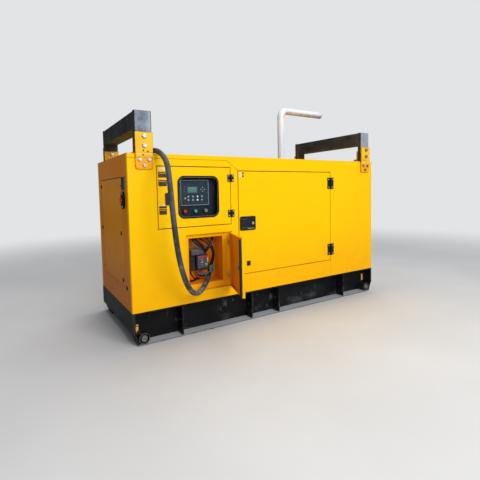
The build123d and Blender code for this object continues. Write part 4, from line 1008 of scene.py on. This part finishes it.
# A painted highlight: the light line round the case.
piece("controller_rim", rail(front(462.8, 748, 38), 209.6, 172, 4, section, 2), "case_edge")
CAP = [(0, 6.4), (0.9, 6.4), (1.5, 5.4), (1.8, 3), (1.8, 0)]
ARROW = [(0, 4.8), (1, 4.8), (1.5, 3), (1.5, 0)]
LAMP = [(0, 2.2), (0.8, 1.8), (1.1, 0)]
KEYS = {
    "key_rose": ((414.5, 722), (414.5, 699)),
    "key_grey": ((448.5, 722), (448.5, 699), (393, 710.5)),
    "key_white": ((482.5, 722), (482.5, 699)),
    "key_cyan": ((516.5, 722),),
    "key_pink": ((516.5, 699),),
}
for name, spots in KEYS.items():
    piece(name, join(lathe(front(x, z, 42 if x == 393 else 39.5), CAP, 18) for x, z in spots), name)
    if name == "key_grey":
        pad = ((524, 783), (524, 757), (511, 770), (537, 770))
        arrows = join(lathe(front(x, z, 42), ARROW, 4) for x, z in pad)
        arrows += join(lathe(front(388, z, 42), LAMP, 10) for z in (790, 773, 756))
        piece("arrow_pad", arrows, name)

# %% Switches
COLLAR = [(0, 15), (1.2, 15), (2, 14), (2, 11.8), (0, 11.8)]
DOME = [(0, 11.3), (8.5, 11.3), (10, 10), (10.6, 6), (10.8, 0)]
BARREL = [(0, 11.3), (8.8, 11.3), (9.6, 10.5), (9.6, 0)]
switches = [front(x, 622, 42) for x in (387.5, 465.5, 543.5)]
piece("switch_collars", join(lathe(place, COLLAR, 24) for place in switches), "lock_black")
piece("stop_cap", lathe(switches[0], DOME, 24), "cap_red")
piece("start_cap", lathe(switches[1], DOME, 24), "cap_green")
key = switches[2].at(0, 0, BARREL[-1][0], turn=35)
barrel = lathe(switches[2], BARREL, 24) + slab(key, 3, 15, 7, 1.2)
piece("key_switch", barrel + slab(key.at(0, 4, 4), 2.4, 20, 6, 1.2), "zinc")

# %% Window seal
angle = np.arange(8) * np.pi / 4
section = np.column_stack([10.8 + 1.5 * np.cos(angle), 4 + 1.3 * np.sin(angle)])
# The thin grey bead round the window is a painted highlight on its seal.
seal = rail(front(475, 719), 306, 284, 48, section, 8)
piece("window_bead", seal, "bead_line", "control_door")
print("controller, switches and window bead made")

# %% [markdown]
# ## Inside the terminal box
#
# The open door shows a moulded breaker with its lamps and buttons, a contactor on top of it, a
# terminal strip, black leads from the roof of the box, and the coloured cores of the big cable,
# which fan out of the boot and turn up into the breaker. Stiff wire bends in one even curve, so a
# lead is a Bezier curve swept by a circle.

# %% Breaker
def on_top(x, z, depth):
    """Inside the box, facing up."""
    return upright(LEFT + x, FRONT + depth, DECK + z)


def push_button(x, z, radius):
    """A round cap on the face of the breaker, its rim bevelled."""
    return lathe(front(x, z, 78), [(0, radius), (3, radius), (4.2, radius * 0.75), (4.2, 0)], 18)


piece("breaker_face", plate(531, 253.5, 98, 84, 90, 20, 3, 2), "block_grey")
piece("contactor", plate(489, 325.5, 150, 94, 30, 75, 3, 1), "block_grey")
# Pale slabs on the tops of the breaker and the contactor: painted highlight where light falls from above.
tops = slab(on_top(510.5, 305.5, 117), 124, 62, 1.6, 2)
tops += slab(on_top(489, 340.5, 113), 92, 70, 3, 3, 1)
stub = [(0, 5), (4, 4.5), (4, 0)]
tops += join(lathe(on_top(x, 343.5, 100), stub, 12) for x in (460, 480, 500))
piece("block_tops", tops, "block_pale")
module = plate(464, 249, 150, 36, 110, 42, 3, 1)
module += join(plate(464, z, 108, 26, 10, 2) for z in (222, 240, 258, 276))
piece("side_module", module + plate(531, 201.5, 98, 80, 12, 10, 2, 1), "block_dark")
lamps = join(plate(523, z, 78, 18, 7, 1) for z in (270, 253.5))
piece("breaker_lamps", lamps + push_button(556.5, 236, 9.8), "lamp_green")
band = plate(530, 291.5, 78, 78, 13.5, 1.6, 3)
piece("breaker_band", band + push_button(523.5, 231, 8.4), "rose")
piece("breaker_stripe", plate(567.5, 267, 78, 5.5, 34, 0.8), "film_cream")

# %% Terminal strip
heights = [171.5 + 10.5 * n for n in range(5)]
teeth = join(plate(618, z, 120, 38.5, 7.2, 6) for z in heights)
piece("strip_teeth", teeth, "strip_teal")
studs = join(screw(front(x, z, 114), 2.8, 2) for z in heights for x in (607, 629))
studs += plate(528, 360, 149.5, 270, 12, 4)
studs += plate(620, 150, 149.5, 90, 12, 4)
piece("strip_studs", studs, "zinc")


# %% Wires
def lead(radius, *points):
    """A wire through the box along a Bezier curve of (x, z, depth) places."""
    x, z, depth = np.array(points).T
    path = np.column_stack([LEFT + x, FRONT + depth, DECK + z])
    return tube(path, radius, 8, 20, up=(0.31, 0.11, 0.23))


TIP = np.array([578.2, 164.8, 63.9])
ALONG = np.array([0.655, 0.345, 0.672])


def core(radius, x, dip, depth, offset):
    """A core from the boot's tip, round a dip, and up into the breaker at x."""
    start = TIP + (*offset, 0)
    bend = (600, dip + 20, depth), (x + 20, dip, depth), (x, dip + 10, depth)
    return lead(radius, start - 6 * ALONG, start + 30 * ALONG, *bend, (x, 197, depth + 6))


blacks = [
    lead(10.5, (452, 434, 85), (462, 395, 60), (520, 352, 50), (560, 350, 70), (548, 312, 110)),
    lead(
        10.5, (612, 434, 90), (606, 400, 50), (560, 350, 45), (545, 345, 60), (556, 320, 90), (556, 312, 115),
    ),
    lead(6.2, (500, 434, 110), (540, 400, 60), (622, 372, 60), (618, 290, 70), (603, 220, 112)),
    lead(5.2, (560, 434, 120), (600, 390, 80), (640, 330, 80), (628, 270, 90), (622, 222, 116)),
    lead(6, (470, 434, 100), (500, 400, 90), (540, 380, 80), (560, 330, 80), (566, 303, 112)),
    lead(
        5, (420, 434, 120), (415, 350, 90), (430, 240, 80), (420, 150, 100), (470, 128, 110), (520, 128, 120),
    ),
    lead(7.5, (400, 140, 110), (430, 122, 80), (470, 124, 90), (500, 135, 120)),
    core(4.6, 500, 128, 118, (4, 4)),
]
piece("leads_black", join(blacks), "wire_black")
piece("core_red", core(4, 514, 158, 100, (4, -3)), "wire_red")
piece("core_blue", core(4.6, 492, 146, 92, (-4, 3)), "wire_blue")
greens = core(4, 532, 142, 86, (-3, -4))
greens += lead(3.2, (448, 434, 90), (450, 390, 70), (470, 360, 70), (480, 352, 110))
piece("core_green", greens, "wire_green")
bend = (612, 150, 100), (618, 140, 112), (618, 168, 122)
piece("core_lime", lead(3, TIP - 6 * ALONG, TIP + 20 * ALONG, *bend), "wire_lime")
print("terminal box wired")

# %% [markdown]
# ## What the bay doors show
#
# Egg-crate foam lines both bay doors, and a flat gasket runs round the control door. The CAD engine
# is a set of plain castings, so it gets what a fitter would look for: filters, the injection pump
# and its lines, hoses, the fan and its belt, a starter and a dipstick.

# %% Door linings
def foam(place, width, height, depth, lump, pitch=50):
    """depth + lump / 2 * cos(2 pi x / pitch) * cos(2 pi z / pitch), down to 0 at the rim."""
    wide, high = round(width / pitch), round(height / pitch)
    x = np.linspace(-0.5, 0.5, 4 * wide + 1)[:, None]
    z = np.linspace(-0.5, 0.5, 4 * high + 1)[None, :]
    lift = depth + lump / 2 * np.cos(2 * np.pi * wide * x) * np.cos(2 * np.pi * high * z)
    lift[[0, -1], :] = 0
    lift[:, [0, -1]] = 0
    index = np.arange(lift.size).reshape(lift.shape)
    rim = np.concatenate([index[0, :-1], index[:-1, -1], index[-1, :0:-1], index[:0:-1, 0]])
    return Shape(place.points(x * width, z * height, lift).reshape(-1, 3), lattice(*lift.shape), [rim])


for door, way in (("front_door", -1), ("rear_door", 1)):
    pan = Place((124.5, 425 * way, 734), across=(way, 0, 0))
    lining = piece(door + "_foam", foam(pan, 859, 688, 12, 10), "foam_black", door)
strip = [(0, 0), (7, 0), (7, 4.5), (0, 4.5)]
gasket = rail(Place((-675, -427, 935.5), across=(-1, 0, 0)), 516, 379, 8, strip)
piece("control_door_gasket", gasket, "rubber", "control_door")

# %% Engine fittings
def flank(x, z, y=-215):
    """On the control side of the engine, facing out."""
    return Place((x, y, z))


castings = [
    slab(flank(165, 805, -130), 560, 55, 45, 20, 6),
    slab(flank(300, 600), 200, 90, 75, 10, 6),
    drum(lengthwise(400, -255, 600), 42, 60),
    slab(upright(180, 0, 860), 640, 200, 12, 20, 3),
    drum(upright(515, -50, 860), 30, 35),
    slab(flank(-40, 715), 60, 34, 50, 6, 2),
    drum(lengthwise(450, -200, 765), 48, 110),
    drum(lengthwise(570, 0, 480), 30, 20),
    drum(lengthwise(570, 0, 600), 36, 225),
]
piece("engine_castings", join(castings), "alloy")
turning = [drum(lengthwise(590, 0, z), 53, 20) for z in (480, 600)]
turning.append(drum(lengthwise(560, -200, 765), 34, 30))
turning.append(drum(lengthwise(-205, -262, 400), 50, 170))
turning.append(drum(lengthwise(-200, -262, 475), 27, 110))
for a in np.arange(7) * 2 * np.pi / 7:
    radial = np.array([0, np.cos(a), np.sin(a)])
    round_it = (0.5, -0.866 * np.sin(a), 0.866 * np.cos(a))
    hub = Place((800, 0, 600) + 130 * radial, round_it, radial)
    turning.append(slab(hub, 85, 190, 3, 20, 1))
piece("engine_turning_parts", join(turning), "hinge_black")
belt = rail(lengthwise(592, 0, 540), 116, 236, 58, [(0, 0), (6, 0), (6, 16), (0, 16)], 8)
hoses = [
    tube([(515, -50, 890), (515, -50, 985), (700, -100, 990), (800, -120, 950), (935, -120, 950)], 24, 14),
    tube([(575, -110, 420), (680, -110, 420), (750, -250, 262), (935, -250, 262)], 22, 14),
    tube([(-390, 0, 875), (-300, 0, 875), (-270, -100, 870), (-220, -155, 807), (-112, -155, 807)], 30, 16),
    tube([(-40, -255, 745), (50, -300, 760), (150, -300, 640), (215, -275, 640)], 6, 8),
]
piece("engine_hoses", belt + join(hoses), "rubber")
bands = [
    drum(upright(515, -50, 892), 26.5, 12),
    drum(lengthwise(914, -120, 950), 26.5, 12),
    drum(lengthwise(914, -250, 262), 24.5, 12),
    drum(lengthwise(-128, -155, 807), 32.5, 12),
    drum(lengthwise(-383, 0, 875), 32.5, 12),
    drum(upright(975, 0, 980), 34, 18),
]
for n in range(4):
    pump, head = 232 + 45 * n, -60 + 160 * n
    rise = [(pump, -258, 640), (pump, -260, 800), (head, -262, 930), (head, -160, 945), (head, -113, 862)]
    bands.append(tube(rise, 3.5))
    bands.append(drum(upright(head, -113, 858), 11, 22))
    bands.append(screw(upright(head + 20, 0, 920), 13, 12))
    for x in (head - 30, head + 30):
        bands.append(bolt(Place((x, 200, 810), across=(-1, 0, 0)), 15, 7, 2, 10))
piece("engine_lines", join(bands), "zinc")
can = [(0, 30), (16, 46), (110, 46), (118, 38), (118, 0)]
piece("oil_filter", lathe(flank(60, 500), can, 28), "wire_blue")
bowl = drum(upright(-40, -258, 590), 40, 125) + drum(upright(-40, -258, 715), 30, 30)
piece("fuel_filter", bowl, "film_white")
stick = tube([(175, -222, 420), (175, -250, 520), (190, -250, 650), (190, -262, 760)], 4)
piece("dipstick", stick + slab(flank(190, 772, -260), 20, 32, 5, 6), "film_amber")
print("door linings and engine fittings made")

# %% [markdown]
# ## The power cable
#
# One heavy rubber cable leaves the terminal box through its boot, hangs in a deep loop in front of
# the set, climbs past the strap and goes over the roof, where its spare length lies in a round coil.
# It is one NURBS spline: the points by which it hangs, about 16 points for each turn, then the short
# straight into the connector. The control points of a turn lie on a circle a little larger than the
# turn, because the spline cuts inside its corners.

# %% Cable sheath
b = board("cable_sheath")
_, _, z = b.axes()
low = b.ramp(z, 0.44, 0.32)
# Scuffs, paler and denser low on the loop, where they are also a painted highlight.
scuffed = b.ramp(b.noise(38, 6, rough=0.7) + 0.08 * low, 0.56, 0.72)
dusty = b.patch(0.3, 0.7, 9, 4, shift=2)
tone = b.mix(dusty, (46, 49, 52), (86, 90, 93))
tone = b.mix(0.6 * scuffed + 0.2 * low * scuffed, tone, (152, 154, 155))
relief = b.bump(scuffed + 0.5 * b.noise(220, 2), 0.0004)
b.finish(tone, 0.5 + 0.2 * dusty, relief, shine=0.4)

# %% Cable
HANG = (
    (-578, -408, 366), (-612, -446, 346), (-657, -486, 320), (-707, -524, 300), (-763, -561, 312),
    (-811, -594, 360), (-849, -620, 430), (-879, -641, 512), (-903, -658, 604), (-920, -670, 704),
    (-931, -673, 804), (-938, -671, 904), (-943, -664, 1008), (-944, -650, 1088),
    (-940, -620, 1137), (-935, -578, 1170), (-937, -530, 1201), (-943, -482, 1225),
    (-948, -428, 1238), (-939, -340, 1240), (-915, -255, 1239), (-888, -170, 1236.5),
    (-870, -95, 1233.5), (-862, -25, 1232.3), (-864, 45, 1232.3),
)
LEAD_OUT = (
    (-604, 254.5, 1252.3), (-568, 255.5, 1263.3), (-525, 256, 1268.3), (-480, 256, 1268.3),
    (-450, 256, 1260.3), (-426.3, 256, 1252.3),
)
CABLE = 0.034
COIL_MIDDLE = (-640, 100)
COIL_RADIUS, COIL_START, COIL_TURN, COIL_STEPS = 230.6, 193.8, 823.8, 36
sweep = np.linspace(0, COIL_TURN, COIL_STEPS + 1)[1:]
angle = np.radians(COIL_START - sweep)
radius = (COIL_RADIUS - MM * CABLE * sweep / 360) / math.cos(math.radians(sweep[0] / 2))
circle = np.column_stack([np.cos(angle), np.sin(angle)]) * radius[:, None] + COIL_MIDDLE
coil = np.column_stack([circle, np.full(COIL_STEPS, HANG[-1][2])])
route = np.vstack([HANG, coil, LEAD_OUT]) / MM
line = bpy.data.curves.new("cable", "CURVE")
line.dimensions = "3D"
line.bevel_depth = CABLE / 2
line.bevel_resolution = 5
line.resolution_u = 6
line.use_fill_caps = True
spline = line.splines.new("NURBS")
spline.points.add(len(route) - 1)
spline.points.foreach_set("co", np.column_stack([route, np.ones(len(route))]).ravel())
spline.order_u = 3
spline.use_endpoint_u = True
line.materials.append(b.owner)
cable = bpy.data.objects.new("cable", line)
show(cable)
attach(cable, "base")
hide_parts("power_cable", "power_cable_coil")
steps = np.linalg.norm(np.diff(route, axis=0), axis=1)
print("cable route", round(float(steps.sum()), 2), "m through", len(route), "points")
